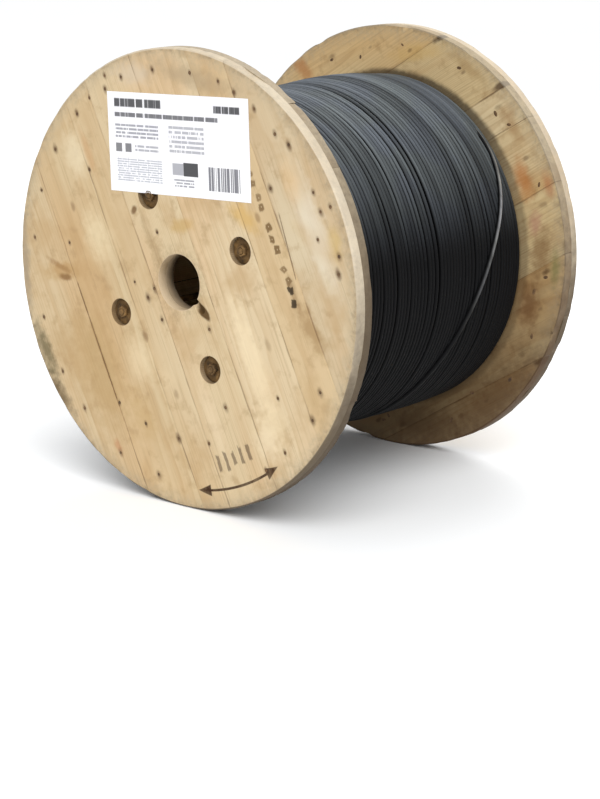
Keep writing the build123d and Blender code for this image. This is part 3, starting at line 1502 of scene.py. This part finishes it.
    def _extras(self, way: float) -> list[float]:
        """All gaps at one angle, kept so that each angle is worked out once.

        Args:
            way: the angle round the axle.

        Returns:
            One gap to a turn, in millimetres.
        """
        key = round(way * 1e5)
        if key not in self.kept:
            self.kept[key] = [self._extra(number, way) for number in range(self.turns)]
        return self.kept[key]

    def _lift(self, turn: float, way: float) -> float:
        """How far a turn stands above or below the even layer.

        Args:
            turn: the place along the cable, in turns.
            way: the angle round the axle.

        Returns:
            The lift in metres, at most 0.5 mm.
        """
        broad = flow(turn * 0.11, 1.1 * cos(way), 1.1 * sin(way) + 9)
        own = flow(turn * 0.83, 1.6 * cos(way) + 20, 1.6 * sin(way))
        return min(0.5, 0.5 * broad + 0.55 * own - 0.2) * MM

    def _under_layer(self) -> bmesh.types.BMesh:
        """The layer that shows through the gaps, wound the other way, on a closed core.

        Returns:
            The mesh.
        """
        radius = SIZES.winding_radius(0.0)
        mesh = self._helix(radius, self.turns, self.under_steps, self.under_sides, -1)
        for vertex in mesh.verts:
            now, way = polar(vertex.co)
            middle = self._skin(vertex.co.y, way) - 1.5 * self.cable - 0.4 * MM
            set_radius(vertex, now + middle - radius)
        core = radius - 1.5 * self.cable - self.flatness - 3 * MM
        half = SIZES.clear_half - 0.5 * MM
        inner = SIZES.winding_bore + 0.5 * MM
        section = ((inner, -half), (core, -half), (core, half), (inner, half))
        points = [mesh.verts.new(SIZES.axle + Vector((r, y, 0))) for r, y in section]
        edges = [mesh.edges.new(pair) for pair in zip(points, points[1:] + points[:1])]
        bmesh.ops.spin(
            mesh, geom=points + edges, cent=SIZES.axle, axis=(0, 1, 0), angle=tau,
            steps=self.core_steps, use_merge=True,
        )
        bmesh.ops.recalc_face_normals(mesh, faces=mesh.faces)
        return mesh

    def _strand_mesh(self) -> bmesh.types.BMesh:
        """The last length of cable, which crosses the turns and is tucked in between them.

        Returns:
            The mesh.
        """
        curve = bpy.data.curves.new("strand_line", "CURVE")
        curve.dimensions = "3D"
        curve.bevel_depth = self.cable / 2
        curve.bevel_resolution = 3
        curve.resolution_u = 10
        curve.use_fill_caps = True
        spline = curve.splines.new("NURBS")
        spline.points.add(len(self.strand) - 1)
        for point, (y, way, lift) in zip(spline.points, self.strand):
            radius = self._skin(y * MM, radians(way)) - self.tuck + lift * MM
            turn = radians(way)
            point.co = (radius * cos(turn), y * MM, SIZES.axle.z + radius * sin(turn), 1)
        spline.order_u = 4
        spline.use_endpoint_u = True
        line = put("strand_line", curve)
        mesh = bmesh.new()
        mesh.from_mesh(bpy.data.meshes.new_from_object(line))
        bpy.data.objects.remove(line)
        close_up(mesh)
        crown = mesh.verts.layers.float.new(CROWN)
        for vertex in mesh.verts:
            vertex[crown] = self._strand_crown(vertex.co)
        return mesh

    def _strand_crown(self, point: Vector) -> float:
        """How far out a point of the strand lies, from -1 underneath to 1 on top.

        Args:
            point: the point.

        Returns:
            The share.
        """
        y = point.y / MM
        lift = self.strand[-1][2]
        for (high, _, high_lift), (low, _, low_lift) in zip(self.strand, self.strand[1:]):
            if low <= y <= high:
                lift = low_lift + (high_lift - low_lift) * (y - low) / (high - low)
        radius, way = polar(point)
        middle = self._skin(point.y, way) - self.tuck + lift * MM
        return (radius - middle) / (self.cable / 2)


@dataclass
class PaperLabel:
    """The printed paper stuck on the front flange, which spans the recess of one tie rod."""

    finish: PaperFinish
    width: float
    height: float
    recess: tuple[float, float, float]
    thickness: float = 0.2 * MM
    lie: float = 0.28 * MM
    sag: float = 1.3
    curl: float = 0.16
    waviness: float = 0.08
    columns: int = 80
    rows: int = 42

    def build(self) -> None:
        """Builds the label."""
        mesh = bmesh.new()
        size = Matrix.Diagonal((self.width * MM / 2, self.height * MM / 2, 1, 1))
        stand = Matrix.Rotation(radians(90), 4, "X")
        turned = Matrix.Rotation(-radians(self.finish.turn), 4, "Y")
        middle = SIZES.on_face(*self.finish.middle, -SIZES.half_width + self.lie)
        place = Matrix.Translation(middle) @ turned @ stand @ size
        bmesh.ops.create_grid(
            mesh, x_segments=self.columns, y_segments=self.rows, size=1.0, matrix=place
        )
        for vertex in mesh.verts:
            self._settle(vertex, place)
        front = mesh.faces[:]
        bmesh.ops.recalc_face_normals(mesh, faces=front)
        if front[0].normal.y > 0:
            bmesh.ops.reverse_faces(mesh, faces=front)
        bmesh.ops.solidify(mesh, geom=front, thickness=self.thickness)
        keep("paper_label", mesh, self.finish.material(), 50.0)

    def _settle(self, vertex: bmesh.types.BMVert, place: Matrix) -> None:
        """Lays one point of the paper: a little wavy, sunk over the recess, up at the corners.

        Args:
            vertex: the point.
            place: the matrix that put the flat sheet in place.
        """
        x, z = vertex.co.x / MM, (vertex.co.z - SIZES.axle.z) / MM
        flat = place.inverted() @ vertex.co
        corner = max(0.0, abs(flat.x) * abs(flat.y) - 0.8) / 0.2
        recess_x, recess_z, recess_radius = self.recess
        over = smoothstep(recess_radius, recess_radius * 0.35, hypot(x - recess_x, z - recess_z))
        wave = self.waviness * flow(x * 0.02, z * 0.02, 3.0)
        vertex.co.y += (self.sag * over - self.curl * corner + wave) * MM


FRONT_RUN = 115.0
REAR_RUN = 120.0
CROSSING = 90.0
RUST_SPOT = shade(92, 66, 40)
KNOT = shade(112, 80, 46)
INK = shade(66, 42, 26)
PALE = shade(226, 204, 166)
FLUSH = shade(221, 187, 143)
RING = shade(182, 148, 102)

STAMPS = (112, 95, 69, 54, 19, -3, -22, -57, -76, -95, -115)
STAMP_LINE = 239
HEAVY_STAMPS_UNDER = -90
TALLIES = (15, 17, 11, 17, 14)
TALLY_LINE = -315

NAIL_PLACES = (
    (-169, 343), (-169, 320), (-129, 343), (-209, 302), (-241, 272), (-271, 40), (-50, 82),
    (-43, -71), (-76, -36), (-60, -18), (-108, -12), (70, -73), (100, 350), (35, 360), (-53, 360),
    (135, 334), (180, 310), (225, 272), (255, 257), (214, 182), (307, 184), (343, 164), (322, 154),
    (361, 85), (360, 56), (316, 108), (319, -146), (302, -196), (225, -170), (105, -205),
    (64, -275), (-9, -278), (-89, -264), (-154, -236), (-155, -328), (-245, -260), (-300, -200),
    (-345, -105), (-362, 40), (-340, 128), (-300, 205), (196, -300), (240, -262), (-60, -352),
    (-214, 176),
)


def recess_stains() -> tuple[Mark, ...]:
    """The rust that stains the wood inside the recesses of the rods.

    Returns:
        One stain to a recess.
    """
    stains = []
    for number in range(1, RODS + 1):
        low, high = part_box(f"tie_rod_{number}")
        x, z = (low[0] + high[0]) / 2, (low[2] + high[2]) / 2 - SIZES.axle.z
        stains.append(Blot(x / MM, z / MM, 24.8, 24.8, 0, shade(82, 57, 26), 0.95, 0.05, 0.02))
    return tuple(stains)


def front_marks(grain: Grain) -> tuple[Mark, ...]:
    """The stains, knots and printed marks of the front face.

    Args:
        grain: the grain of its boards.

    Returns:
        The marks, the later ones on top.
    """
    run = grain.run
    marks: list[Mark] = [
        *recess_stains(),
        Blot(*grain.at(-262, -80), 180, 92, run, shade(176, 146, 98), 0.6, 0.9, 0.9),
        Blot(*grain.at(-190, -190), 80, 40, run, shade(186, 152, 100), 0.5, 0.9, 0.9),
        Blot(*grain.at(100, -290), 60, 50, run, shade(226, 206, 168), 0.6, 0.9, 0.9),
        Blot(40, 352, 150, 30, -8, shade(172, 150, 118), 0.7, 0.9, 1.0),
        Blot(300, -45, 80, 30, -52, shade(170, 140, 98), 0.9, 0.9, 1.1),
        Blot(-300, -150, 60, 45, run, shade(180, 150, 106), 0.6, 0.9, 0.9),
        Blot(-200, 60, 70, 42, run, shade(228, 210, 172), 0.6, 0.9, 0.9),
        Blot(-250, 200, 60, 42, run, shade(228, 212, 178), 0.6, 0.9, 0.9),
        Blot(200, -150, 60, 40, run, shade(206, 176, 134), 0.4, 0.9, 0.9),
        Blot(-100, -150, 60, 40, run, shade(232, 212, 174), 0.5, 0.9, 0.9),
        Blot(200, -250, 55, 40, run, shade(234, 216, 182), 0.6, 0.9, 0.9),
        Blot(-100, 350, 70, 30, 0, shade(206, 190, 166), 0.6, 0.9, 0.9),
        Blot(305, -160, 70, 40, run, shade(186, 156, 112), 0.5, 0.9, 1.0),
        Blot(-52, 40, 120, 16, 118, shade(150, 122, 82), 0.4, 0.9, 1.5),
        Blot(-285, -12, 75, 24, 8, shade(180, 145, 96), 0.8, 0.8, 1.2),
        Blot(-284, -24, 22, 9, 0, shade(128, 92, 52), 0.8, 0.7, 0.8),
        Blot(-298, -5, 50, 8, -19, shade(146, 108, 64), 0.6, 0.85, 1.1),
        Blot(-216, 205, 60, 12, run, shade(190, 142, 92), 0.45, 0.8, 1.0),
        Blot(10, 100, 42, 18, 10, shade(186, 146, 72), 0.5, 0.8, 1.0),
        Blot(152, 130, 55, 26, 150, shade(206, 164, 84), 0.6, 0.8, 0.9),
        Blot(351, 105, 40, 22, 100, shade(200, 168, 96), 0.5, 0.8, 0.9),
        Blot(-160, -318, 24, 10, 120, shade(184, 122, 78), 0.5, 0.8, 1.0),
        Blot(-340, -170, 95, 24, 116, shade(92, 82, 50), 0.75, 0.9, 1.3),
        Blot(-302, -246, 64, 20, 131, shade(98, 78, 48), 0.7, 0.9, 1.2),
        Blot(316, 100, 78, 26, -32, shade(188, 152, 94), 0.7, 0.9, 0.9),
        Blot(261, 17, 46, 11, 114, shade(140, 110, 72), 0.55, 0.9, 0.9),
        Blot(-388, -20, 150, 15, 92, shade(150, 132, 110), 0.6, 0.9, 1.0),
        Blot(*grain.at(-243, -60), 150, 5.0, run, shade(150, 114, 68), 0.55, 0.8, 1.1),
        Blot(*grain.at(105, -170), 150, 34, run, shade(240, 221, 184), 0.6, 0.8, 0.6),
        Blot(*grain.at(-30, -240), 120, 24, run, shade(232, 212, 178), 0.4, 0.8, 0.6),
        Blot(*grain.at(330, -20), 150, 40, run, shade(226, 216, 196), 0.5, 0.9, 0.9),
        Blot(*grain.at(320, 70), 60, 30, run, shade(214, 170, 110), 0.4, 0.9, 0.9),
        Blot(-105, 115, 12, 8, 60, KNOT, 0.85, 0.6, 0.7),
        Blot(*grain.at(-122, -60), 15, 9, run, KNOT, 0.5, 0.7, 0.8),
        Blot(*grain.at(-95, -175), 13, 8, run, KNOT, 0.35, 0.7, 0.8),
        Blot(*grain.at(150, -160), 17, 8, run, KNOT, 0.3, 0.7, 0.8),
        Blot(*grain.at(222, 40), 12, 7, run, KNOT, 0.45, 0.7, 0.8),
        Blot(*grain.at(-190, 205), 13, 7, run, KNOT, 0.45, 0.7, 0.8),
        Stroke(*grain.at(264, -26), 54, 1.3, run - 6, shade(104, 82, 56), 0.7, 1.2),
        Stroke(*grain.at(-243, -35), 118, 1.4, run, shade(98, 74, 48), 0.55, 1.6),
        Blot(55, -43, 25, 10.5, -38.5, shade(82, 56, 18), 0.95, 0.35, 0.4),
    ]
    draw = random.Random(11)
    for x, z in NAIL_PLACES:
        size = draw.uniform(5.0, 8.5)
        marks.append(Blot(x, z, size * 1.7, size, run, RUST_SPOT, draw.uniform(0.5, 0.9), 0.9, 0.9))
    for along in STAMPS:
        is_heavy = along < HEAVY_STAMPS_UNDER
        strength = 0.95 if is_heavy else 0.6 + 0.3 * draw.random()
        ink = shade(40, 27, 8) if is_heavy else shade(108, 80, 42)
        x, z = grain.at(STAMP_LINE + draw.uniform(-3, 3), along)
        turn = run + draw.uniform(-25, 25)
        marks.append(Blot(x, z, 10.0, 9.0, turn, ink, 0.6 * strength, 0.8, 1.2))
        marks.append(Stroke(x, z, 6.4, 5.8, turn, ink, 0.85 * strength, 1.9))
        if not is_heavy:
            marks.append(Blot(x, z, 2.2, 1.5, turn, PALE, 0.45, 0.7, 1.4))
    for step, half_length in enumerate(TALLIES):
        x, z = grain.at(-50 + 19 * step, TALLY_LINE)
        marks.append(Stroke(x, z, half_length, 4.0, run + 3 * (step % 3 - 1), INK, 0.62, 1.4))
    marks.append(DoubleArrow(
        arc_radius=364.5, start=-84.0, end=-52.4, half_width=2.4, head_length=30, head_half_width=10.5,
        colour=shade(58, 33, 10), strength=0.9,
    ))
    return tuple(marks)


def tones(ring: Colour, *rows: tuple[Paint, Paint, float]) -> tuple[Tone, ...]:
    """The tones of a ply's boards.

    Args:
        ring: the colour of their rings.
        rows: the pale and the flushed paint and the contrast, from the left of the grain's way.

    Returns:
        One tone to a board.
    """
    return tuple(Tone(shade(*pale), shade(*flush), ring, contrast) for pale, flush, contrast in rows)


PLAIN_TONES = (Tone(PALE, FLUSH, RING),)
FRONT_TONES = tones(
    RING,
    ((205, 184, 148), (200, 168, 125), 0.9),
    ((205, 183, 145), (197, 163, 118), 1.0),
    ((211, 190, 154), (199, 171, 128), 0.8),
    ((212, 191, 154), (207, 175, 134), 0.7),
    ((216, 195, 159), (209, 178, 137), 0.8),
    ((209, 184, 144), (201, 165, 120), 1.0),
    ((210, 193, 161), (196, 167, 127), 0.8),
)
GOLDEN_TONES = tones(
    shade(168, 128, 80),
    ((218, 194, 148), (208, 170, 114), 0.8),
    ((212, 188, 142), (202, 162, 106), 0.9),
    ((220, 198, 156), (210, 174, 118), 0.8),
    ((214, 190, 146), (206, 166, 106), 0.9),
    ((216, 192, 144), (214, 168, 108), 1.0),
    ((210, 184, 136), (200, 160, 104), 0.9),
    ((206, 180, 134), (196, 156, 102), 0.9),
)


def rear_inner_marks(grain: Grain) -> tuple[Mark, ...]:
    """The stains of the rear flange's inner face.

    Args:
        grain: the grain of its boards.

    Returns:
        The marks.
    """
    marks: list[Mark] = [
        Blot(-221, 305, 46, 22, 140, shade(176, 118, 66), 0.7, 0.8, 0.9),
        Blot(305, 137, 60, 26, 110, shade(190, 118, 54), 0.7, 0.9, 0.9),
        Blot(359, 134, 36, 18, 110, shade(180, 112, 66), 0.6, 0.9, 0.9),
        Blot(345, 8, 70, 30, 85, shade(140, 104, 62), 0.7, 0.9, 1.0),
        Blot(321, -91, 70, 34, 80, shade(124, 78, 40), 0.7, 0.9, 0.9),
        Blot(332, 61, 34, 20, 80, shade(196, 146, 118), 0.7, 0.9, 0.9),
        Blot(376, -15, 50, 16, 90, shade(134, 132, 78), 0.7, 0.9, 0.9),
        Blot(280, 230, 60, 20, 120, shade(166, 128, 84), 0.6, 0.9, 1.0),
        Blot(180, 330, 70, 18, 150, shade(172, 140, 92), 0.6, 0.9, 1.1),
        Blot(60, 352, 90, 24, 10, shade(206, 168, 100), 0.5, 0.8, 0.9),
        Blot(250, -270, 170, 60, 45, shade(96, 68, 38), 0.55, 0.9, 0.8),
        Blot(90, -350, 150, 50, 10, shade(72, 54, 34), 0.6, 0.9, 0.8),
        Blot(118, 386, 30, 9, 35, shade(66, 48, 32), 0.8, 0.6, 0.9),
        Blot(250, 303, 24, 9, 30, shade(76, 54, 36), 0.8, 0.6, 0.9),
        Blot(350, -190, 22, 8, 30, shade(52, 38, 26), 0.8, 0.6, 0.9),
    ]
    draw = random.Random(23)
    for x, z in ring_places(360, 22, 4, 31):
        size = draw.uniform(4, 8)
        marks.append(Blot(x, z, size * 1.9, size, grain.run, RUST_SPOT, draw.uniform(0.3, 0.8), 0.8, 0.9))
    return tuple(marks)


def ring_places(radius: float, count: int, jitter: float, seed: int) -> list[tuple[float, float]]:
    """Places set by hand round a ring, and so not quite evenly.

    Args:
        radius: the ring's radius in millimetres.
        count: number of places.
        jitter: how far each strays, in millimetres.
        seed: of the straying.

    Returns:
        The places as x and z.
    """
    draw = random.Random(seed)
    places = []
    for step in range(count):
        way = (step + draw.uniform(-0.25, 0.25)) * tau / count
        off = radius + draw.uniform(-jitter, jitter)
        places.append((off * cos(way), off * sin(way)))
    return places


def label_blocks() -> tuple[PrintBlock, ...]:
    """The label's plain printing: bars, lines of dashes, cells and stripes, with no lettering.

    Returns:
        The blocks, the later ones on top.
    """
    black, dark = shade(38, 38, 42), shade(60, 60, 66)
    grey, pale = shade(150, 150, 158), shade(178, 180, 188)
    return (
        PrintBlock(Print.LINES, -149, 79, 112, 24, 25, black, 0.92),
        PrintBlock(Print.LINES, 86, 74, 60, 20, 21, black, 0.92),
        PrintBlock(Print.LINES, -149, 53, 244, 12, 13, dark, 0.85),
        PrintBlock(Print.LINES, -149, 32, 104, 26, 6.5, grey, 0.9),
        PrintBlock(Print.LINES, -20, 34, 82, 48, 8, grey, 0.75),
        PrintBlock(Print.SOLID, -149, -2, 15, 15, 10, dark, 0.8),
        PrintBlock(Print.SOLID, -126, -2, 15, 15, 10, dark, 0.8),
        PrintBlock(Print.LINES, -102, -3, 56, 13, 6.5, grey, 0.8),
        PrintBlock(Print.CELLS, -149, -26, 112, 42, 8, pale, 0.5),
        PrintBlock(Print.LINES, -147, -28, 108, 40, 4, pale, 0.85),
        PrintBlock(Print.SOLID, -14, -30, 26, 20, 10, grey, 0.8),
        PrintBlock(Print.SOLID, 12, -28, 34, 23, 10, black, 0.94),
        PrintBlock(Print.LINES, -12, -56, 48, 16, 5, grey, 0.9),
        PrintBlock(Print.STRIPES, 68, -32, 74, 40, 1.3, shade(84, 84, 94), 0.85),
    )


@dataclass
class Barrel:
    """The staves that the cable is wound on."""

    finish: WoodFinish
    count: int = 16

    def dress(self) -> None:
        """Rounds the staves' arrises and gives them their wood."""
        material = self.finish.material()
        for number in range(1, self.count + 1):
            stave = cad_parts[f"barrel_stave_{number}"]
            weld = stave.modifiers.new("joined", "WELD")
            weld.merge_threshold = MERGE
            bevel = stave.modifiers.new("arris", "BEVEL")
            bevel.width = 0.7 * MM
            bevel.segments = 2
            bevel.limit_method = "ANGLE"
            bevel.angle_limit = radians(30)
            stave.data.materials.clear()
            stave.data.materials.append(material)
            LOG.info("barrel_stave_%d: dressed", number)


@dataclass
class Studio:
    """The pale floor, the soft lights and the camera."""

    azimuth: float = 41.45
    elevation: float = 13.64
    roll: float = -0.52
    distance: float = 4.318
    target: tuple[float, float, float] = (0.00298, 0.0, 0.136)
    focal_px: float = 2352.0
    long_side_px: float = 799.0

    def build(self) -> None:
        """Sets up the floor, lights, background and camera."""
        self._floor()
        self._lights()
        self._camera()

    def _floor(self) -> None:
        """A plain pale floor."""
        mesh = bmesh.new()
        bmesh.ops.create_grid(mesh, x_segments=4, y_segments=4, size=14.0)
        data = bpy.data.meshes.new("floor")
        mesh.to_mesh(data)
        mesh.free()
        recipe = Recipe("pale_floor")
        recipe.colour = shade(250, 250, 250)
        recipe.cover(recipe.noise(recipe.from_axle(), 0.7, 2.0), shade(253, 253, 252))
        data.materials.append(recipe.finish(0.8, constants={"Specular IOR Level": 0.1}))
        floor = put("floor", data)

    def _lights(self) -> None:
        """A broad soft light above the camera, a panel behind the drum, and a pale sky."""
        key = bpy.data.lights.new("key_light", "SUN")
        key.energy = 2.6
        key.angle = radians(50)
        lamp = put("key_light", key)
        lamp.rotation_euler = self._back(azimuth=48, elevation=46).to_track_quat("Z", "Y").to_euler()
        self._panel("back_light", azimuth=200, elevation=44, away=4.0, size=3.0, power=80.0)
        world = bpy.data.worlds.new("studio_sky")
        world.use_nodes = True
        background = world.node_tree.nodes["Background"]
        background.inputs["Color"].default_value = (0.93, 0.96, 1.0, 1.0)
        background.inputs["Strength"].default_value = 0.5
        bpy.context.scene.world = world
        bpy.context.scene.view_settings.view_transform = "Standard"

    def _panel(
        self, name: str, azimuth: float, elevation: float, away: float, size: float, power: float
    ) -> None:
        """Adds a square soft light that faces the drum.

        Args:
            name: the light's name.
            azimuth: where it stands; 0 is in front of the front flange, and 90 at +X.
            elevation: degrees above the floor.
            away: metres from the axle.
            size: side of the panel.
            power: watts.
        """
        data = bpy.data.lights.new(name, "AREA")
        data.shape = "SQUARE"
        data.size = size
        data.energy = power
        light = put(name, data)
        way = self._back(azimuth, elevation)
        light.location = SIZES.axle + way * away
        light.rotation_euler = way.to_track_quat("Z", "Y").to_euler()

    @staticmethod
    def _back(azimuth: float, elevation: float) -> Vector:
        """The way from the drum to something that looks at it."""
        turn, rise = radians(azimuth), radians(elevation)
        return Vector((sin(turn) * cos(rise), -cos(turn) * cos(rise), sin(rise)))

    def _camera(self) -> None:
        """Places the camera at the photograph's angle."""
        back = self._back(self.azimuth, self.elevation)
        level_right = (-back).cross(Vector((0, 0, 1))).normalized()
        level_up = level_right.cross(-back)
        roll = radians(self.roll)
        right = level_right * cos(roll) + level_up * sin(roll)
        up = level_up * cos(roll) - level_right * sin(roll)
        data = bpy.data.cameras.new("camera")
        data.lens = self.focal_px / self.long_side_px * data.sensor_width
        data.clip_end = 100.0
        camera = put("camera", data)
        turn = Matrix((right, up, back)).transposed().to_4x4()
        camera.matrix_world = Matrix.Translation(Vector(self.target) + back * self.distance) @ turn
        bpy.context.scene.camera = camera


def flange_plies() -> list[Ply]:
    """The four plies, each with its face.

    Returns:
        The plies, from the front.
    """
    front, rear = Grain(FRONT_RUN), Grain(REAR_RUN)
    front_cross, rear_cross = Grain(FRONT_RUN - CROSSING), Grain(REAR_RUN - CROSSING)
    # The second colour here, and the rear inner one below, are painted shade that darkens the flanges
    # towards the floor
    grey, floor_shade = shade(170, 156, 130), shade(72, 56, 36)
    brown = Grime(shade(122, 98, 66), 13.0, -7.0, 0.5)
    open_grimes = (Grime(grey, 34.0, 2.0, 0.5), brown)
    inner_grimes = (Grime(grey, 40.0, 4.0, 0.45), brown)
    # The first rim tone is the pale end grain of the outer plies with a painted highlight; the second is
    # the greyer rim of the inner plies
    cream_and_highlight, weathered = RimTone(shade(232, 222, 202), 0.6), RimTone(shade(160, 150, 132), 0.75)
    front_outer = WearAndShade(open_grimes, FootShade(floor_shade, 150.0, -200.0, 0.0, 0.85), cream_and_highlight, at_bore=0.3)
    front_inner = WearAndShade(inner_grimes, FootShade(floor_shade, 390.0, -70.0, 0.5, 0.88), weathered)
    rear_floor_shade = FootShade(shade(72, 46, 19), 200.0, -290.0, 0.72, 0.88, 90.0)
    rear_inner = WearAndShade(inner_grimes, rear_floor_shade, weathered, cable_shade=0.8)
    rear_outer = WearAndShade(open_grimes, FootShade(floor_shade, 200.0, -170.0, 0.25, 0.93), cream_and_highlight, at_bore=0.5)
    return [
        Ply("front_outer", Side.FRONT, True, Slot.FRONT_BOARDS,
            Face(front, FRONT_TONES, front_marks(front), 1, front_outer)),
        Ply("front_inner", Side.FRONT, False, Slot.FLANGE_BOARDS,
            Face(front_cross, PLAIN_TONES, (), 2, front_inner)),
        Ply("rear_inner", Side.REAR, False, Slot.REAR_BOARDS,
            Face(rear_cross, GOLDEN_TONES, rear_inner_marks(rear_cross), 3, rear_inner)),
        Ply("rear_outer", Side.REAR, True, Slot.FLANGE_BOARDS,
            Face(rear, GOLDEN_TONES, recess_stains(), 4, rear_outer)),
    ]


def nailing() -> list[Nails]:
    """The nail heads of the two outer faces and the bent points of the two inner ones.

    Returns:
        The four sets of nails.
    """
    rust = RustFinish("nail_rust", shade(70, 52, 36), shade(104, 78, 52), shade(138, 106, 72), 2.0)
    points = [*ring_places(362, 16, 5, 31), *ring_places(342, 7, 8, 32)]
    heads = [*ring_places(360, 26, 4, 33), *ring_places(280, 18, 4, 34), *ring_places(92, 8, 6, 35)]
    return [
        Nails("front_nails", NAIL_PLACES, -SIZES.half_width, -1, rust, 41),
        Nails("rear_nails", heads, SIZES.half_width, 1, rust, 42),
        Nails("front_nail_points", points, -SIZES.clear_half, 1, rust, 43, 3.0, 1.8),
        Nails("rear_nail_points", points, SIZES.clear_half, -1, rust, 44, 3.0, 1.8),
    ]


def winding() -> Winding:
    """The cable with its three finishes.

    Returns:
        The winding.
    """
    black = shade(17, 17, 18)
    dull = (
        (20.0, 12.0, 0.3), (-28.0, 9.0, 0.3), (-66.0, 9.0, 0.2), (-98.0, 12.0, 0.3), (-130.0, 12.0, 0.2),
        (84.0, 9.0, 0.2), (114.0, 22.0, 0.42), (160.0, 10.0, 0.2), (205.0, 34.0, 0.42),
    )
    # The turns are paler on their crowns and towards the top: a dusting and a painted sheen
    turns = SheathFinish(
        "black_sheath", black, dust_and_sheen_colour=shade(130, 137, 139), dust_and_sheen_share=0.56, dust_and_sheen_from=0.02,
        dust_and_sheen_full=0.28, shine=0.07, on_crowns=True, dull=dull,
    )
    # A darker copy of the sheath: painted shade on the layer seen through the gaps
    under = SheathFinish(
        "shaded_sheath", shade(6, 6, 7), dust_and_sheen_colour=shade(30, 32, 36), dust_and_sheen_share=0.1, shine=0.05
    )
    # The strand's dusting and painted highlight make it pale along its top
    strand = SheathFinish(
        "dusty_sheen_sheath", black, dust_and_sheen_colour=shade(150, 150, 146), dust_and_sheen_share=0.85, dust_and_sheen_from=-0.14,
        dust_and_sheen_full=0.12, shine=0.1, on_crowns=True,
    )
    return Winding(turns, under, strand)


def main() -> None:
    """Builds the drum's looks and the studio round it."""
    logging.basicConfig(level=logging.INFO, format="%(name)s %(message)s")
    Studio().build()
    for ply in flange_plies():
        ply.build()
    for nails in nailing():
        nails.build()
    Ironwork(RustFinish("rust", shade(56, 41, 20), shade(102, 75, 38), shade(142, 108, 60), 1.0)).build()
    stave_wood = WoodFinish(
        "stave_wood", turn=(0.0, 0.0, radians(90)), pale=PALE, ring=RING, flush=FLUSH,
        pith=(0.3, 0.05), ring_width=3.4 * MM, seed=5.0,
    )
    Barrel(stave_wood).dress()
    winding().build()
    paper = PaperFinish("label_paper", middle=(3.75, 235.25), turn=1.5, blocks=label_blocks())
    PaperLabel(paper, width=331.0, height=172.0, recess=(-70.1, 143.8, 24.0)).build()


if __name__ == "__main__":
    main()
